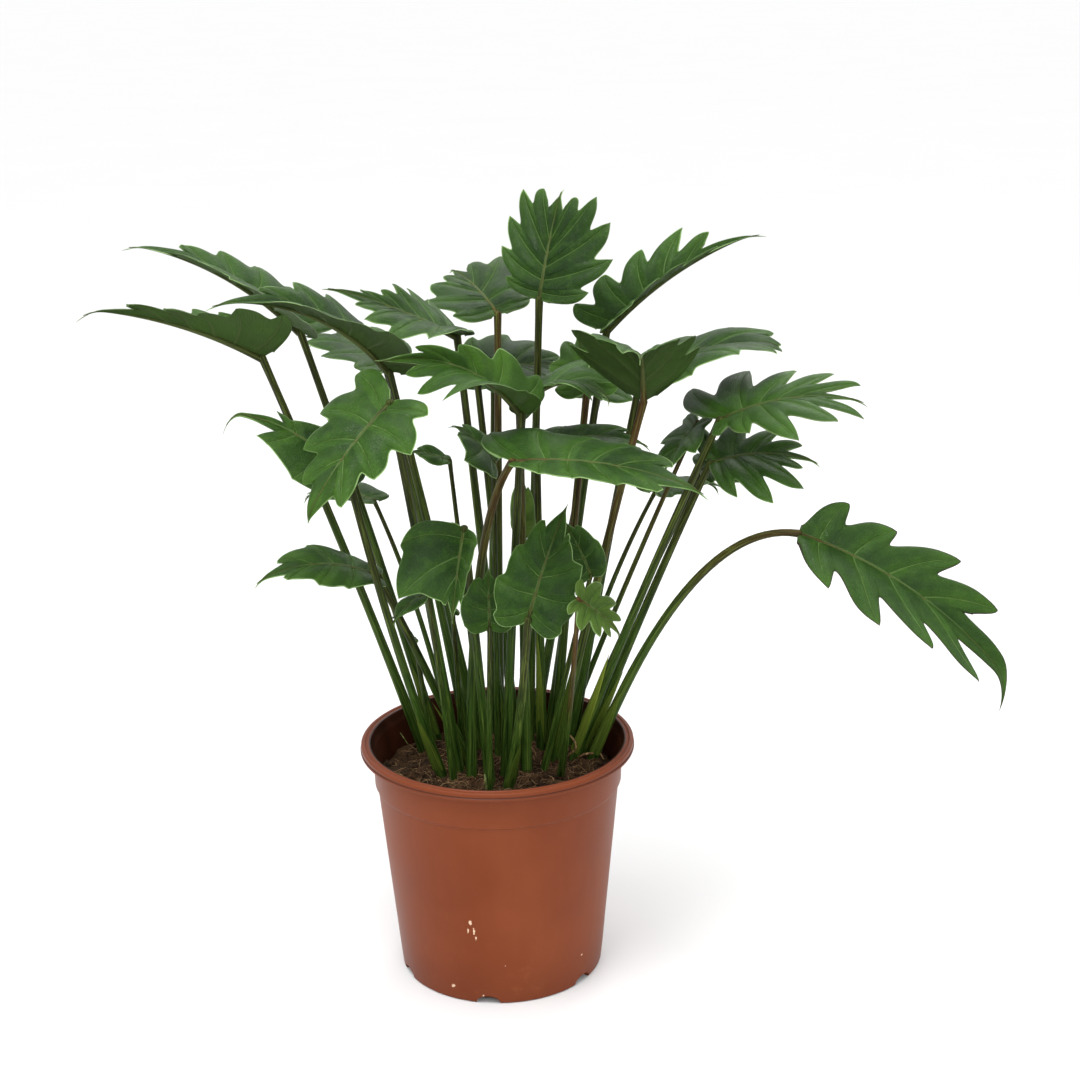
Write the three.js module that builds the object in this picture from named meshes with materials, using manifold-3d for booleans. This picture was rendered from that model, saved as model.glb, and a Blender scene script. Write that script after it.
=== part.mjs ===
// A potted philodendron: a 21 cm nursery pot, its soil, and a clump of lobed leaves on long stalks.
// Millimetres, +Z up. The origin is the centre of the pot's flat base; the viewer's side is -Y.

import * as THREE from 'three';
import { mergeVertices } from 'three/addons/utils/BufferGeometryUtils.js';
import Module from 'manifold-3d';

const wasm = await Module();
wasm.setup();

// ---- Driving sizes -------------------------------------------------------------------------

const POT_HEIGHT = 186;
const RIM_RADIUS = 105;
const RIM_INNER_RADIUS = 97;
const LIP_DEPTH = 6.5;
const COLLAR_RADIUS = 95.5;
const COLLAR_DEPTH = 28;
const COLLAR_STEP = 2.6;
const COLLAR_DRAFT = 0.6;
const LIP_ROUND = 1.5;
const INNER_ROUND = 1.2;
const GROOVE_RADIUS = 100.4;
const GROOVE_HALF_WIDTH = 1;
const GROOVE_DEPTH = 1;
const BASE_RADIUS = 78.5;
const WALL = 1.8;
const FLOOR = 3;
const BASE_ROUND = 2;
const POT_SEGMENTS = 40;

const NOTCH_COUNT = 6;
const NOTCH_FIRST_ANGLE = -97;
const NOTCH_HALF_WIDTH = 9.5;
const NOTCH_HEIGHT = 6.5;
const NOTCH_DEPTH = 9;
const NOTCH_SIDES = 16;

const SOIL_LEVEL = 157;
const SOIL_RINGS = 5;
const SOIL_SEGMENTS = 28;
const SOIL_LUMP = 2.6;
const SOIL_CROWN = 5;
const LUMP_SPACING = { x: 11, y: 9, diagonal: 6.5 };
const LUMP_SHIFT = { x: 1.3, y: -0.4 };
const DIAGONAL_LUMP = 0.6;
const CLUMP = [12, 24];
const CLUMP_RADIUS = 70;
const CLEARANCE = 0.35;

const STALK_SINK = 20;
const STALK_RISE = 5;
const STALK_SIDES = 5;
const STALK_STEPS = 5;
const STALK_NARROWS_BY = 0.3;
const HANGING_SLOPE = -25;
const RIB_STOPS = [{ along: 0.06, size: 0.7 }, { along: 0.24, size: 0.3 }];
const BLADE_THICKNESS = 0.9;
const SPINE_STEPS = 20;

// Veins leave the midrib one after another. The first point back past the stalk, by each leaf's
// spread in degrees, and the last runs along the midrib into the terminal lobe. LOBE_TIP, SHOULDER
// and TERMINAL_PLACES are places in a lobe, from 0 at the bay before it to 1 at the bay after it.
const ROOT_SPACING = 1.1;
const TERMINAL_SHARE = 0.28;
const TERMINAL_START = 0.78;
const BASE_NOTCH_CUT = 0.75;
const LOBE_TIP = 0.68;
const SHOULDER = 0.3;
const TERMINAL_PLACES = [0, 0.5, 1];
const BAY_WIDTH_SHARE = 0.6;
const BLUNTNESS = 1.6;
const BAY_SHARPNESS = 6;
const TERMINAL_BLUNTNESS = 2.2;
const LOBE_HOOK = 0.1;
const HOOK_START = 0.86;
const BASE_BROADENS_BY = 0.34;
const CUPPING = 0.14;
const RIPPLES = 9;
const RIPPLE_SHIFT = { left: 0.6, right: 2.4 };

// ---- The leaves ----------------------------------------------------------------------------
// foot: where the stalk enters the soil; joint: where the stalk meets the blade.
// heading: the blade's way in plan, in degrees from +X; turn: how far it swings to its left;
// rise: its slope at the stalk; droop: how far the midrib bends down along its length;
// roll: about the midrib, positive lifts the left half; twist: how far the roll changes towards
// the tip; fold: how far each half stands up from flat; lobes: on each side; cut: depth of the
// bays between lobes, as a share of the half width; spread: the first vein's angle to the midrib;
// skew: how much wider the left half's veins spread than that, and the right's less;
// fan: how early the veins swing towards the midrib's way; back: the first lobe's length, as a
// share of the half width; narrow: how far along the edge the blade starts to narrow; tail: how
// much of the terminal lobe is the thin tip; left and right: each lobe's length on that hand, as
// a share of the plain one; hook: how far the tip bends down, and to its left; knee: how early
// the stalk leans out and climbs; stalk: its radius at the soil, at mid height and at the blade;
// wave: how far the edge ripples; shoulders: whether each lobe has a broad top.

const SHAPE = {
  turn: 0, roll: 0, twist: 0, fold: 14, skew: 0, fan: 1.15, narrow: 0.35, tail: 0.2,
  left: [], right: [], hook: [3.5, 0], knee: [0.46, 0.5],
};
const FULL = { ...SHAPE, stalk: [4.4, 3.4, 2.6], spread: 135, back: 0.8, wave: 5, shoulders: true };
const SMALL = { ...SHAPE, stalk: [3.0, 2.2, 1.6], spread: 140, back: 0.7, wave: 3, shoulders: false };

const LEAVES = [
  { name: 'leaf_left_far', ...FULL, foot: [-60, 46], joint: [-160, -25, 491], heading: 196, rise: 31,
    droop: 25, length: 134, width: 92, roll: 8, fold: 46, spread: 110, back: 1, lobes: 5, cut: 0.16,
    narrow: 0.2, left: [1.1, 0.9, 0.6, 0.35, 0.3], right: [1.1, 0.9, 0.6, 0.3, 0.3], hook: [7, 0] },
  { name: 'leaf_left_high', ...FULL, foot: [-50, 60], joint: [-139.5, 38, 496], heading: 171,
    rise: 44, droop: 38, length: 150, width: 100, roll: 4, twist: -10, fold: 30, spread: 130,
    back: 1, lobes: 5, cut: 0.16, narrow: 0.15, left: [0.9, 0.9, 0.8, 0.62, 0.35],
    right: [0.95, 0.9, 0.6, 0.5, 0.12] },
  { name: 'leaf_left_arching', ...FULL, foot: [-14, 34], joint: [-71, -15, 477], heading: 199,
    rise: 52, droop: 58, length: 148, width: 100, roll: 8, twist: -30, fold: 34, spread: 125,
    back: 0.9, lobes: 5, cut: 0.16, left: [0.9, 0.8, 0.6, 0.6, 0.4],
    right: [0.8, 0.85, 0.8, 0.7, 0.4] },
  { name: 'leaf_left_front', ...FULL, foot: [-30, 0], joint: [-66, -84, 471], heading: 223,
    rise: -31, droop: 22, length: 104, width: 86, roll: -18, fold: 4, spread: 140, lobes: 4,
    cut: 0.28, narrow: 0.7, tail: 0.06, left: [0.93, 0.92, 0.75, 0.85],
    right: [1.4, 1.05, 0.86, 0.72] },
  { name: 'leaf_left_oval', ...FULL, foot: [-44, 0], joint: [-98, -60, 406], heading: 182, rise: 58,
    droop: 54, length: 108, width: 58, roll: -46, fold: 10, fan: 0.85, lobes: 3, cut: 0.01,
    narrow: 0.75, tail: 0.62, left: [0.9, 1, 0.85], right: [0.85, 0.66, 0.36], hook: [24, 4],
    knee: [0.55, 0.45] },
  { name: 'leaf_top_left', ...FULL, foot: [4, 40], joint: [-23, 20, 495], heading: 196, rise: 30,
    droop: 12, length: 106, width: 112, roll: 0, twist: -50, fold: 18, spread: 98, skew: 12, back: 1,
    lobes: 5, cut: 0.2, left: [0.65, 1, 1, 0.85, 0.5], right: [0.78, 0.72, 0.6, 0.4, 0.2] },
  { name: 'leaf_top_middle', ...FULL, foot: [0, 66], joint: [6, 74, 500], heading: 122, rise: 32,
    droop: 26, length: 78, width: 118, roll: -8, fold: 10, spread: 115, lobes: 4, cut: 0.22,
    left: [0.7, 0.9, 0.7, 0.6], right: [0.6, 1, 1, 0.8] },
  { name: 'leaf_top', ...FULL, foot: [24, 54], joint: [37.5, 34, 518.5], heading: 62, rise: 68,
    droop: 8, length: 86, width: 116, roll: 2, fold: 14, spread: 98, skew: -8, lobes: 5, cut: 0.24,
    narrow: 0.6, left: [0.6, 0.75, 0.86, 0.93, 0.8], right: [0.85, 1, 1, 0.92, 0.68] },
  { name: 'leaf_right_high', ...FULL, foot: [40, 58], joint: [88, 62, 489], heading: 10, rise: 44,
    droop: 30, length: 142, width: 84, roll: 16, fold: 44, spread: 130, lobes: 5, cut: 0.42,
    left: [1.05, 0.9, 0.95, 1.15, 0.5], right: [0.7, 0.7, 0.7, 0.5, 0.4] },
  { name: 'leaf_centre_long', ...FULL, foot: [-20, -14], joint: [17.4, -110, 435], heading: 351,
    rise: 6, droop: 30, length: 138, width: 84, roll: 14, fold: 8, spread: 150, lobes: 5, cut: 0.08,
    left: [1.4, 1.25, 1.2, 1.1, 1], right: [0.3, 0.42, 0.55, 0.75, 0.8], knee: [0.1, 0.75] },
  { name: 'leaf_right_upturned', ...FULL, foot: [44, 14], joint: [111, -24, 454], heading: 265,
    rise: 66, droop: 70, length: 96, width: 136, roll: 0, fold: 30, spread: 80, lobes: 4, cut: 0.26,
    left: [0.85, 0.8, 0.8, 0.8], right: [1.1, 1.05, 1, 1], wave: 6 },
  { name: 'leaf_right_behind', ...FULL, foot: [57, 40], joint: [112, 40, 456], heading: 352,
    rise: 36, droop: 44, length: 112, width: 92, roll: 8, fold: 12, spread: 110, lobes: 4, cut: 0.1,
    narrow: 0.85, tail: 0.06, left: [0.9, 0.9, 1, 1.1], right: [1, 1, 1.2, 1.2] },
  { name: 'leaf_left_low', ...FULL, foot: [-22, 12], joint: [-85, -16, 323], heading: 196, rise: 30,
    droop: 58, length: 98, width: 48, roll: -18, fold: 10, lobes: 4, cut: 0.1 },
  { name: 'leaf_left_bud', ...SMALL, foot: [-34, -14], joint: [-46, -66, 327], heading: 205,
    rise: -20, droop: 30, length: 36, width: 24, roll: 0, lobes: 2, cut: 0.1 },
  { name: 'leaf_front_hanging', ...FULL, foot: [-6, -20], joint: [-18, -78, 378], heading: 252,
    rise: -58, droop: 10, length: 68, width: 84, roll: -12, fold: 30, spread: 104, lobes: 3,
    cut: 0.1, left: [0.35, 0.3, 0.3], right: [1.25, 1.3, 0.6] },
  { name: 'leaf_right_long', ...FULL, foot: [60, 24], joint: [167, -12, 437], heading: 349, rise: 28,
    droop: 40, length: 110, width: 100, roll: 18, fold: 8, spread: 140, fan: 1.45, back: 0.9,
    lobes: 5, cut: 0.44, left: [1.4, 1.15, 1, 1.1, 1.5], right: [0.5, 0.65, 1.2, 1.35, 1.9] },
  { name: 'leaf_right_fan', ...FULL, foot: [68, 36], joint: [162, 8, 399], heading: 353, rise: 20,
    droop: 40, length: 84, width: 96, roll: 28, fold: 8, spread: 110, skew: 15, lobes: 4, cut: 0.44,
    left: [0.9, 0.75, 0.7, 0.7], right: [1, 1.15, 1.25, 0.8] },
  { name: 'leaf_right_inner', ...SMALL, foot: [50, 52], joint: [155, 38, 423], heading: 212,
    rise: -38, droop: 20, length: 50, width: 58, roll: 10, lobes: 3, cut: 0.3 },
  { name: 'leaf_right_under', ...SMALL, foot: [61, 56], joint: [160, 44, 384], heading: 12, rise: 6,
    droop: 34, length: 50, width: 46, roll: 16, lobes: 3, cut: 0.25 },
  { name: 'leaf_right_drooping', ...FULL, foot: [74, 20], joint: [222, -42, 359], heading: 348,
    rise: -18, droop: 36, length: 200, width: 150, roll: 35, fold: 27, spread: 88, skew: 2,
    fan: 0.75, lobes: 4, cut: 0.45, left: [0.54, 0.5, 0.71, 0.68], right: [0.84, 0.92, 0.95, 1.3],
    hook: [4, -20], knee: [0.5, 1.02] },
  { name: 'leaf_centre_light', ...FULL, foot: [6, -8], joint: [24, -58, 455], heading: 171, rise: 52,
    droop: 72, length: 118, width: 100, roll: 6, twist: -110, fold: 44, spread: 112, skew: 0,
    back: 1, lobes: 4, cut: 0.3, left: [0.7, 1.35, 1.1, 0.8], right: [0.76, 0.6, 0.42, 0.35] },
  { name: 'leaf_centre_right', ...FULL, foot: [22, -6], joint: [22, -12, 444], heading: 2, rise: 62,
    droop: 122, length: 84, width: 114, roll: -30, twist: 60, fold: 14, spread: 112, skew: 10,
    lobes: 4, cut: 0.24, left: [0.85, 0.85, 1, 0.9], right: [0.5, 0.55, 0.8, 0.8] },
  { name: 'leaf_behind_centre', ...FULL, foot: [12, 76], joint: [-13, 128, 443], heading: 18,
    rise: 10, droop: 28, length: 86, width: 86, roll: 24, spread: 110, lobes: 4, cut: 0.16 },
  { name: 'leaf_behind_light', ...FULL, foot: [44, 42], joint: [72, 36, 449], heading: 100, rise: 58,
    droop: 24, length: 52, width: 56, roll: -10, lobes: 3, cut: 0.2 },
  { name: 'leaf_centre_wavy', ...FULL, foot: [34, 34], joint: [34, 14, 412], heading: 2, rise: 18,
    droop: 40, length: 88, width: 64, roll: 12, lobes: 4, cut: 0.08, left: [0.55, 0.55, 0.6, 0.7],
    wave: 6 },
  { name: 'leaf_centre_bud', ...SMALL, foot: [-14, 62], joint: [-33, 60, 390], heading: 180,
    rise: 24, droop: 20, length: 34, width: 20, roll: -20, lobes: 2, cut: 0.06 },
  { name: 'leaf_front', ...FULL, foot: [8, -32], joint: [26, -86, 312], heading: 44, rise: 68,
    droop: 12, length: 88, width: 76, roll: 38, fold: 8, spread: 140, lobes: 4, cut: 0.12,
    narrow: 0.7, left: [0.85, 0.8, 0.72, 0.7], right: [0.85, 0.82, 0.8, 0.55], knee: [0.6, 0.4],
    wave: 5 },
  { name: 'leaf_front_glossy', ...SMALL, foot: [-6, -36], joint: [-2, -71, 301], heading: 95,
    rise: 90, droop: 2, length: 46, width: 42, roll: -4, fold: 4, lobes: 3, cut: 0.05, wave: 1 },
  { name: 'leaf_inner_right', ...SMALL, foot: [36, 4], joint: [72, -26, 324], heading: 160, rise: 70,
    droop: 16, length: 48, width: 33, roll: -60, lobes: 3, cut: 0.05 },
  { name: 'leaf_front_young', ...SMALL, foot: [48, -12], joint: [61, -106, 334], heading: 8,
    rise: -34, droop: 20, length: 44, width: 42, roll: 50, lobes: 4, cut: 0.42, knee: [0.7, 0.5] },
  { name: 'leaf_inner_narrow', ...SMALL, foot: [18, 12], joint: [23.5, 6, 344], heading: 100,
    rise: 80, droop: 10, length: 50, width: 20, roll: 0, lobes: 2, cut: 0.05 },
  { name: 'leaf_centre_left', ...SMALL, foot: [0, 16], joint: [2, 0, 405], heading: 190, rise: 60,
    droop: 30, length: 44, width: 54, roll: -24, lobes: 3, cut: 0.1, left: [1.1, 1.2, 1],
    right: [0.6, 0.6, 0.6] },
  { name: 'leaf_inner_left', ...SMALL, foot: [-28, 26], joint: [-30, -28, 299], heading: 200,
    rise: 70, droop: 16, length: 38, width: 32, roll: 0, lobes: 2, cut: 0.05 },
  { name: 'leaf_inner_low', ...SMALL, foot: [-50, 20], joint: [-62, 14, 262], heading: 200, rise: 60,
    droop: 16, length: 28, width: 24, roll: 0, lobes: 2, cut: 0.04 },
  { name: 'leaf_back_left', ...FULL, foot: [-26, 72], joint: [-84, 128, 448], heading: 128, rise: 24,
    droop: 48, length: 120, width: 84, roll: 0, lobes: 4, cut: 0.26 },
  { name: 'leaf_back_middle', ...FULL, foot: [-6, 79], joint: [0, 168, 424], heading: 94, rise: 22,
    droop: 50, length: 118, width: 86, roll: 0, lobes: 4, cut: 0.3 },
  { name: 'leaf_back_right', ...FULL, foot: [28, 76], joint: [84, 150, 418], heading: 58, rise: 24,
    droop: 48, length: 122, width: 84, roll: 0, lobes: 4, cut: 0.32 },
  { name: 'leaf_back_low', ...SMALL, foot: [50, 64], joint: [128, 116, 346], heading: 44, rise: 10,
    droop: 44, length: 84, width: 56, roll: 0, lobes: 4, cut: 0.16, knee: [0.4, 0.6] },
  { name: 'leaf_back_small', ...SMALL, foot: [-38, 72], joint: [-96, 104, 346], heading: 146,
    rise: 14, droop: 44, length: 78, width: 52, roll: 0, lobes: 3, cut: 0.12, knee: [0.4, 0.6] },
];

const LEAF_FINISH = { color: 0x2f5a2c, roughness: 0.5 };
const POT_FINISH = { color: 0x9c5738, roughness: 0.45 };
const SOIL_FINISH = { color: 0x33241a, roughness: 1 };

// ---- Solids --------------------------------------------------------------------------------

const degrees = THREE.MathUtils.degToRad;
const mix = THREE.MathUtils.lerp;

function solidFrom(points, triangles) {
  const mesh = new wasm.Mesh({
    numProp: 3,
    vertProperties: new Float32Array(points.flatMap((point) => [point.x, point.y, point.z])),
    triVerts: new Uint32Array(triangles.flat()),
  });
  return new wasm.Manifold(mesh);
}

function solidFromGeometry(geometry) {
  geometry.deleteAttribute('normal');
  geometry.deleteAttribute('uv');
  const merged = mergeVertices(geometry, 1e-3);
  const index = merged.index.array;
  const place = merged.attributes.position;
  const points = [];
  for (let i = 0; i < place.count; i += 1) {
    points.push(new THREE.Vector3().fromBufferAttribute(place, i));
  }
  const triangles = [];
  for (let i = 0; i < index.length; i += 3) {
    const [a, b, c] = [index[i], index[i + 1], index[i + 2]];
    if (a !== b && b !== c && c !== a) triangles.push([a, b, c]);
  }
  return solidFrom(points, facingOut(points, triangles));
}

function facingOut(points, triangles) {
  let volume = 0;
  for (const [a, b, c] of triangles) {
    volume += points[a].dot(new THREE.Vector3().crossVectors(points[b], points[c]));
  }
  return volume > 0 ? triangles : triangles.map(([a, b, c]) => [a, c, b]);
}

function meshFrom(name, solid, finish) {
  const { vertProperties, triVerts } = solid.getMesh();
  const geometry = new THREE.BufferGeometry();
  geometry.setAttribute('position', new THREE.BufferAttribute(new Float32Array(vertProperties), 3));
  geometry.setIndex(Array.from(triVerts));
  geometry.computeVertexNormals();
  const material = new THREE.MeshStandardMaterial({ ...finish, metalness: 0 });
  const mesh = new THREE.Mesh(geometry, material);
  mesh.name = name;
  return mesh;
}

function revolve(profile, segments) {
  const outline = profile.map(([radius, height]) => new THREE.Vector2(radius, height));
  const geometry = new THREE.LatheGeometry(outline, segments);
  geometry.rotateX(Math.PI / 2);
  return solidFromGeometry(geometry);
}

// ---- Pot -----------------------------------------------------------------------------------

function wallRadius(height) {
  const top = POT_HEIGHT - LIP_DEPTH - COLLAR_DEPTH;
  return mix(BASE_RADIUS, COLLAR_RADIUS - COLLAR_STEP, height / top);
}

function innerWall(height) {
  const low = FLOOR + BASE_ROUND;
  const high = POT_HEIGHT - LIP_DEPTH - COLLAR_DEPTH - COLLAR_STEP;
  return mix(BASE_RADIUS, COLLAR_RADIUS - COLLAR_STEP, (height - low) / (high - low)) - WALL;
}

function buildPot() {
  const lipUnderside = POT_HEIGHT - LIP_DEPTH;
  const collarFoot = lipUnderside - COLLAR_DEPTH;
  const profile = [
    [0, 0],
    [BASE_RADIUS - BASE_ROUND, 0],
    [BASE_RADIUS, BASE_ROUND],
    [wallRadius(collarFoot), collarFoot],
    [COLLAR_RADIUS - COLLAR_DRAFT, collarFoot + COLLAR_STEP],
    [COLLAR_RADIUS, lipUnderside],
    [RIM_RADIUS - INNER_ROUND, lipUnderside],
    [RIM_RADIUS, lipUnderside + INNER_ROUND],
    [RIM_RADIUS, POT_HEIGHT - LIP_ROUND],
    [RIM_RADIUS - LIP_ROUND, POT_HEIGHT],
    [GROOVE_RADIUS + GROOVE_HALF_WIDTH, POT_HEIGHT],
    [GROOVE_RADIUS, POT_HEIGHT - GROOVE_DEPTH],
    [GROOVE_RADIUS - GROOVE_HALF_WIDTH, POT_HEIGHT],
    [RIM_INNER_RADIUS + INNER_ROUND, POT_HEIGHT],
    [RIM_INNER_RADIUS, POT_HEIGHT - INNER_ROUND],
    [COLLAR_RADIUS - WALL, lipUnderside - WALL],
    [innerWall(collarFoot - COLLAR_STEP), collarFoot - COLLAR_STEP],
    [innerWall(FLOOR + BASE_ROUND), FLOOR + BASE_ROUND],
    [BASE_RADIUS - WALL - BASE_ROUND, FLOOR],
    [0, FLOOR],
  ];
  let pot = revolve(profile, POT_SEGMENTS);
  for (let i = 0; i < NOTCH_COUNT; i += 1) {
    const angle = degrees(NOTCH_FIRST_ANGLE + (360 / NOTCH_COUNT) * i);
    const arch = new THREE.CylinderGeometry(
      NOTCH_HALF_WIDTH, NOTCH_HALF_WIDTH, NOTCH_DEPTH * 2, NOTCH_SIDES);
    arch.rotateZ(Math.PI / 2);
    arch.scale(1, 1, NOTCH_HEIGHT / NOTCH_HALF_WIDTH);
    arch.translate(BASE_RADIUS, 0, 0);
    arch.rotateZ(angle);
    pot = pot.subtract(solidFromGeometry(arch));
  }
  return pot;
}

// ---- Soil ----------------------------------------------------------------------------------

function soilHeight(x, y) {
  const broad = Math.sin(x / LUMP_SPACING.x + LUMP_SHIFT.x) * Math.cos(y / LUMP_SPACING.y + LUMP_SHIFT.y);
  const lumps = broad + DIAGONAL_LUMP * Math.sin((x + y) / LUMP_SPACING.diagonal);
  const away = Math.hypot(x - CLUMP[0], y - CLUMP[1]) / CLUMP_RADIUS;
  return SOIL_LEVEL + SOIL_LUMP * lumps + SOIL_CROWN * Math.exp(-away * away * 2);
}

function buildSoil() {
  const points = [];
  const triangles = [];
  const ring = (radius, heightAt) => {
    const start = points.length;
    for (let i = 0; i < SOIL_SEGMENTS; i += 1) {
      const angle = (2 * Math.PI * i) / SOIL_SEGMENTS;
      const [x, y] = [radius * Math.cos(angle), radius * Math.sin(angle)];
      points.push(new THREE.Vector3(x, y, heightAt(x, y)));
    }
    return start;
  };
  const join = (inner, outer) => {
    for (let i = 0; i < SOIL_SEGMENTS; i += 1) {
      const next = (i + 1) % SOIL_SEGMENTS;
      triangles.push([inner + i, outer + i, outer + next], [inner + i, outer + next, inner + next]);
    }
  };
  const fan = (centre, start, up) => {
    for (let i = 0; i < SOIL_SEGMENTS; i += 1) {
      const next = (i + 1) % SOIL_SEGMENTS;
      triangles.push(up ? [centre, start + i, start + next] : [centre, start + next, start + i]);
    }
  };
  const flatSide = Math.cos(Math.PI / POT_SEGMENTS);
  const edge = (innerWall(SOIL_LEVEL - SOIL_LUMP * 2) - CLEARANCE) * flatSide;
  const floorEdge = (BASE_RADIUS - WALL - BASE_ROUND - NOTCH_DEPTH) * flatSide;
  points.push(new THREE.Vector3(0, 0, soilHeight(0, 0)));
  let last = ring(edge / SOIL_RINGS, soilHeight);
  fan(0, last, true);
  for (let i = 2; i <= SOIL_RINGS; i += 1) {
    const next = ring((edge * i) / SOIL_RINGS, soilHeight);
    join(last, next);
    last = next;
  }
  const wallFoot = FLOOR + NOTCH_HEIGHT + BASE_ROUND;
  const foot = ring((innerWall(wallFoot) - CLEARANCE) * flatSide, () => wallFoot);
  join(last, foot);
  const bottom = ring(floorEdge, () => FLOOR + CLEARANCE);
  join(foot, bottom);
  points.push(new THREE.Vector3(0, 0, FLOOR + CLEARANCE));
  fan(points.length - 1, bottom, false);
  return solidFrom(points, triangles);
}

// ---- Leaf: the midrib ----------------------------------------------------------------------

function spineOf(leaf) {
  const stations = [];
  const place = new THREE.Vector3(...leaf.joint);
  for (let i = 0; i <= SPINE_STEPS; i += 1) {
    const along = i / SPINE_STEPS;
    const pitch = degrees(leaf.rise - leaf.droop * along);
    const heading = degrees(leaf.heading + leaf.turn * along);
    const tangent = new THREE.Vector3(
      Math.cos(heading) * Math.cos(pitch), Math.sin(heading) * Math.cos(pitch), Math.sin(pitch));
    const level = new THREE.Vector3(-Math.sin(heading), Math.cos(heading), 0);
    const lift = new THREE.Vector3().crossVectors(tangent, level);
    const roll = degrees(leaf.roll + leaf.twist * along);
    const side = level.clone().multiplyScalar(Math.cos(roll)).addScaledVector(lift, Math.sin(roll));
    const normal = new THREE.Vector3().crossVectors(tangent, side);
    stations.push({ place: place.clone(), tangent, side, normal });
    place.addScaledVector(tangent, leaf.length / SPINE_STEPS);
  }
  return stations;
}

function onSpine(stations, along, length) {
  const inside = Math.min(Math.max(along, 0), 1) * SPINE_STEPS;
  const low = Math.min(Math.floor(inside), SPINE_STEPS - 1);
  const [from, to] = [stations[low], stations[low + 1]];
  const share = inside - low;
  const blend = (key) => from[key].clone().lerp(to[key], share);
  const beyond = along < 0 ? along : Math.max(along - 1, 0);
  const tangent = blend('tangent').normalize();
  return {
    place: blend('place').addScaledVector(tangent, beyond * length),
    tangent,
    side: blend('side').normalize(),
    normal: blend('normal').normalize(),
  };
}

// ---- Leaf: the blade -----------------------------------------------------------------------

const smooth = (low, high, value) => THREE.MathUtils.smoothstep(value, low, high);

// A stop's s runs along half the edge, from the notch at the stalk (0) to the tip (1), and its
// place runs from 0 to 1 over each lobe. The terminal lobe takes the last stretch.
function edgeStops(leaf) {
  const stops = [];
  for (let lobe = 0; lobe < leaf.lobes; lobe += 1) {
    for (const place of leaf.shoulders ? [0, SHOULDER, LOBE_TIP] : [0, LOBE_TIP]) {
      stops.push({ s: lobeStop(leaf, lobe, place), place, first: lobe === 0 && place < LOBE_TIP });
    }
  }
  for (const place of TERMINAL_PLACES) {
    stops.push({ s: mix(TERMINAL_START, 1, place), place, terminal: true });
  }
  return stops;
}

const lobeStop = (leaf, lobe, place) => ((lobe + place) / leaf.lobes) * TERMINAL_START;
const veinRoot = (s) => (1 - TERMINAL_SHARE) * s ** ROOT_SPACING;

// How much longer or shorter than plain the lobes near s are, on that hand.
function lobeSize(leaf, s, hand) {
  const sizes = hand > 0 ? leaf.left : leaf.right;
  if (sizes.length === 0) return 1;
  const tips = sizes.map((size, lobe) => ({ at: lobeStop(leaf, lobe, LOBE_TIP), size }));
  const after = [...tips, { at: 1, size: 1 }].findIndex((tip) => tip.at >= s);
  if (after === 0) return sizes[0];
  const [from, to] = [tips[after - 1], tips[after] ?? { at: 1, size: 1 }];
  return mix(from.size, to.size, (s - from.at) / (to.at - from.at));
}

// How far a stop lies from its lobe's tip: 0 at the tip and 1 in a bay.
function fromTip({ place, terminal }) {
  if (terminal) return 1 - place;
  return place < LOBE_TIP ? (LOBE_TIP - place) / LOBE_TIP : (place - LOBE_TIP) / (1 - LOBE_TIP);
}

function veinLength(leaf, stop, hand) {
  const half = (leaf.width / 2) * lobeSize(leaf, stop.s, hand);
  const broad = half * mix(leaf.back, 1, smooth(0, BASE_BROADENS_BY, stop.s));
  const reach = mix(broad, leaf.length * TERMINAL_SHARE, smooth(leaf.narrow, 1, stop.s));
  const wave = Math.sin((Math.PI / 2) * fromTip(stop));
  const lobed = mix(wave ** BLUNTNESS, wave ** BAY_SHARPNESS, BAY_WIDTH_SHARE);
  const bay = stop.terminal ? wave ** TERMINAL_BLUNTNESS : lobed;
  const cut = stop.first ? BASE_NOTCH_CUT : leaf.cut;
  const tail = stop.terminal && stop.s < 1 ? leaf.tail : 0;
  return reach * (1 - cut * bay) * (1 - tail);
}

// The last stretch of the blade bends down and to one side.
function hooked(leaf, point, at, along) {
  const end = Math.min(Math.max((along - HOOK_START) / (1 - HOOK_START), 0), 1) ** 2;
  const [down, left] = leaf.hook;
  return point.addScaledVector(at.normal, -down * end).addScaledVector(at.side, left * end);
}

function midribPoint(leaf, stations, stop) {
  const along = veinRoot(stop.s);
  const at = onSpine(stations, along, leaf.length);
  return hooked(leaf, at.place, at, along);
}

function edgePoint(leaf, stations, stop, hand) {
  const reach = veinLength(leaf, stop, hand);
  const angle = degrees((leaf.spread + hand * leaf.skew) * (1 - stop.s) ** leaf.fan);
  const across = reach * Math.sin(angle);
  const forward = stop.terminal ? 0 : LOBE_HOOK * (1 - fromTip(stop)) ** 2 * across;
  const along = veinRoot(stop.s) + (reach * Math.cos(angle) + forward) / leaf.length;
  const at = onSpine(stations, along, leaf.length);
  const fold = degrees(leaf.fold);
  const out = across / (leaf.width / 2);
  const shift = hand > 0 ? RIPPLE_SHIFT.left : RIPPLE_SHIFT.right;
  const ripple = leaf.wave * out * out * Math.sin(RIPPLES * stop.s + shift);
  const point = at.place
    .addScaledVector(at.side, hand * across * Math.cos(fold))
    .addScaledVector(at.normal, across * Math.sin(fold) - CUPPING * across * out + ripple);
  return hooked(leaf, point, at, along);
}

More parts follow.
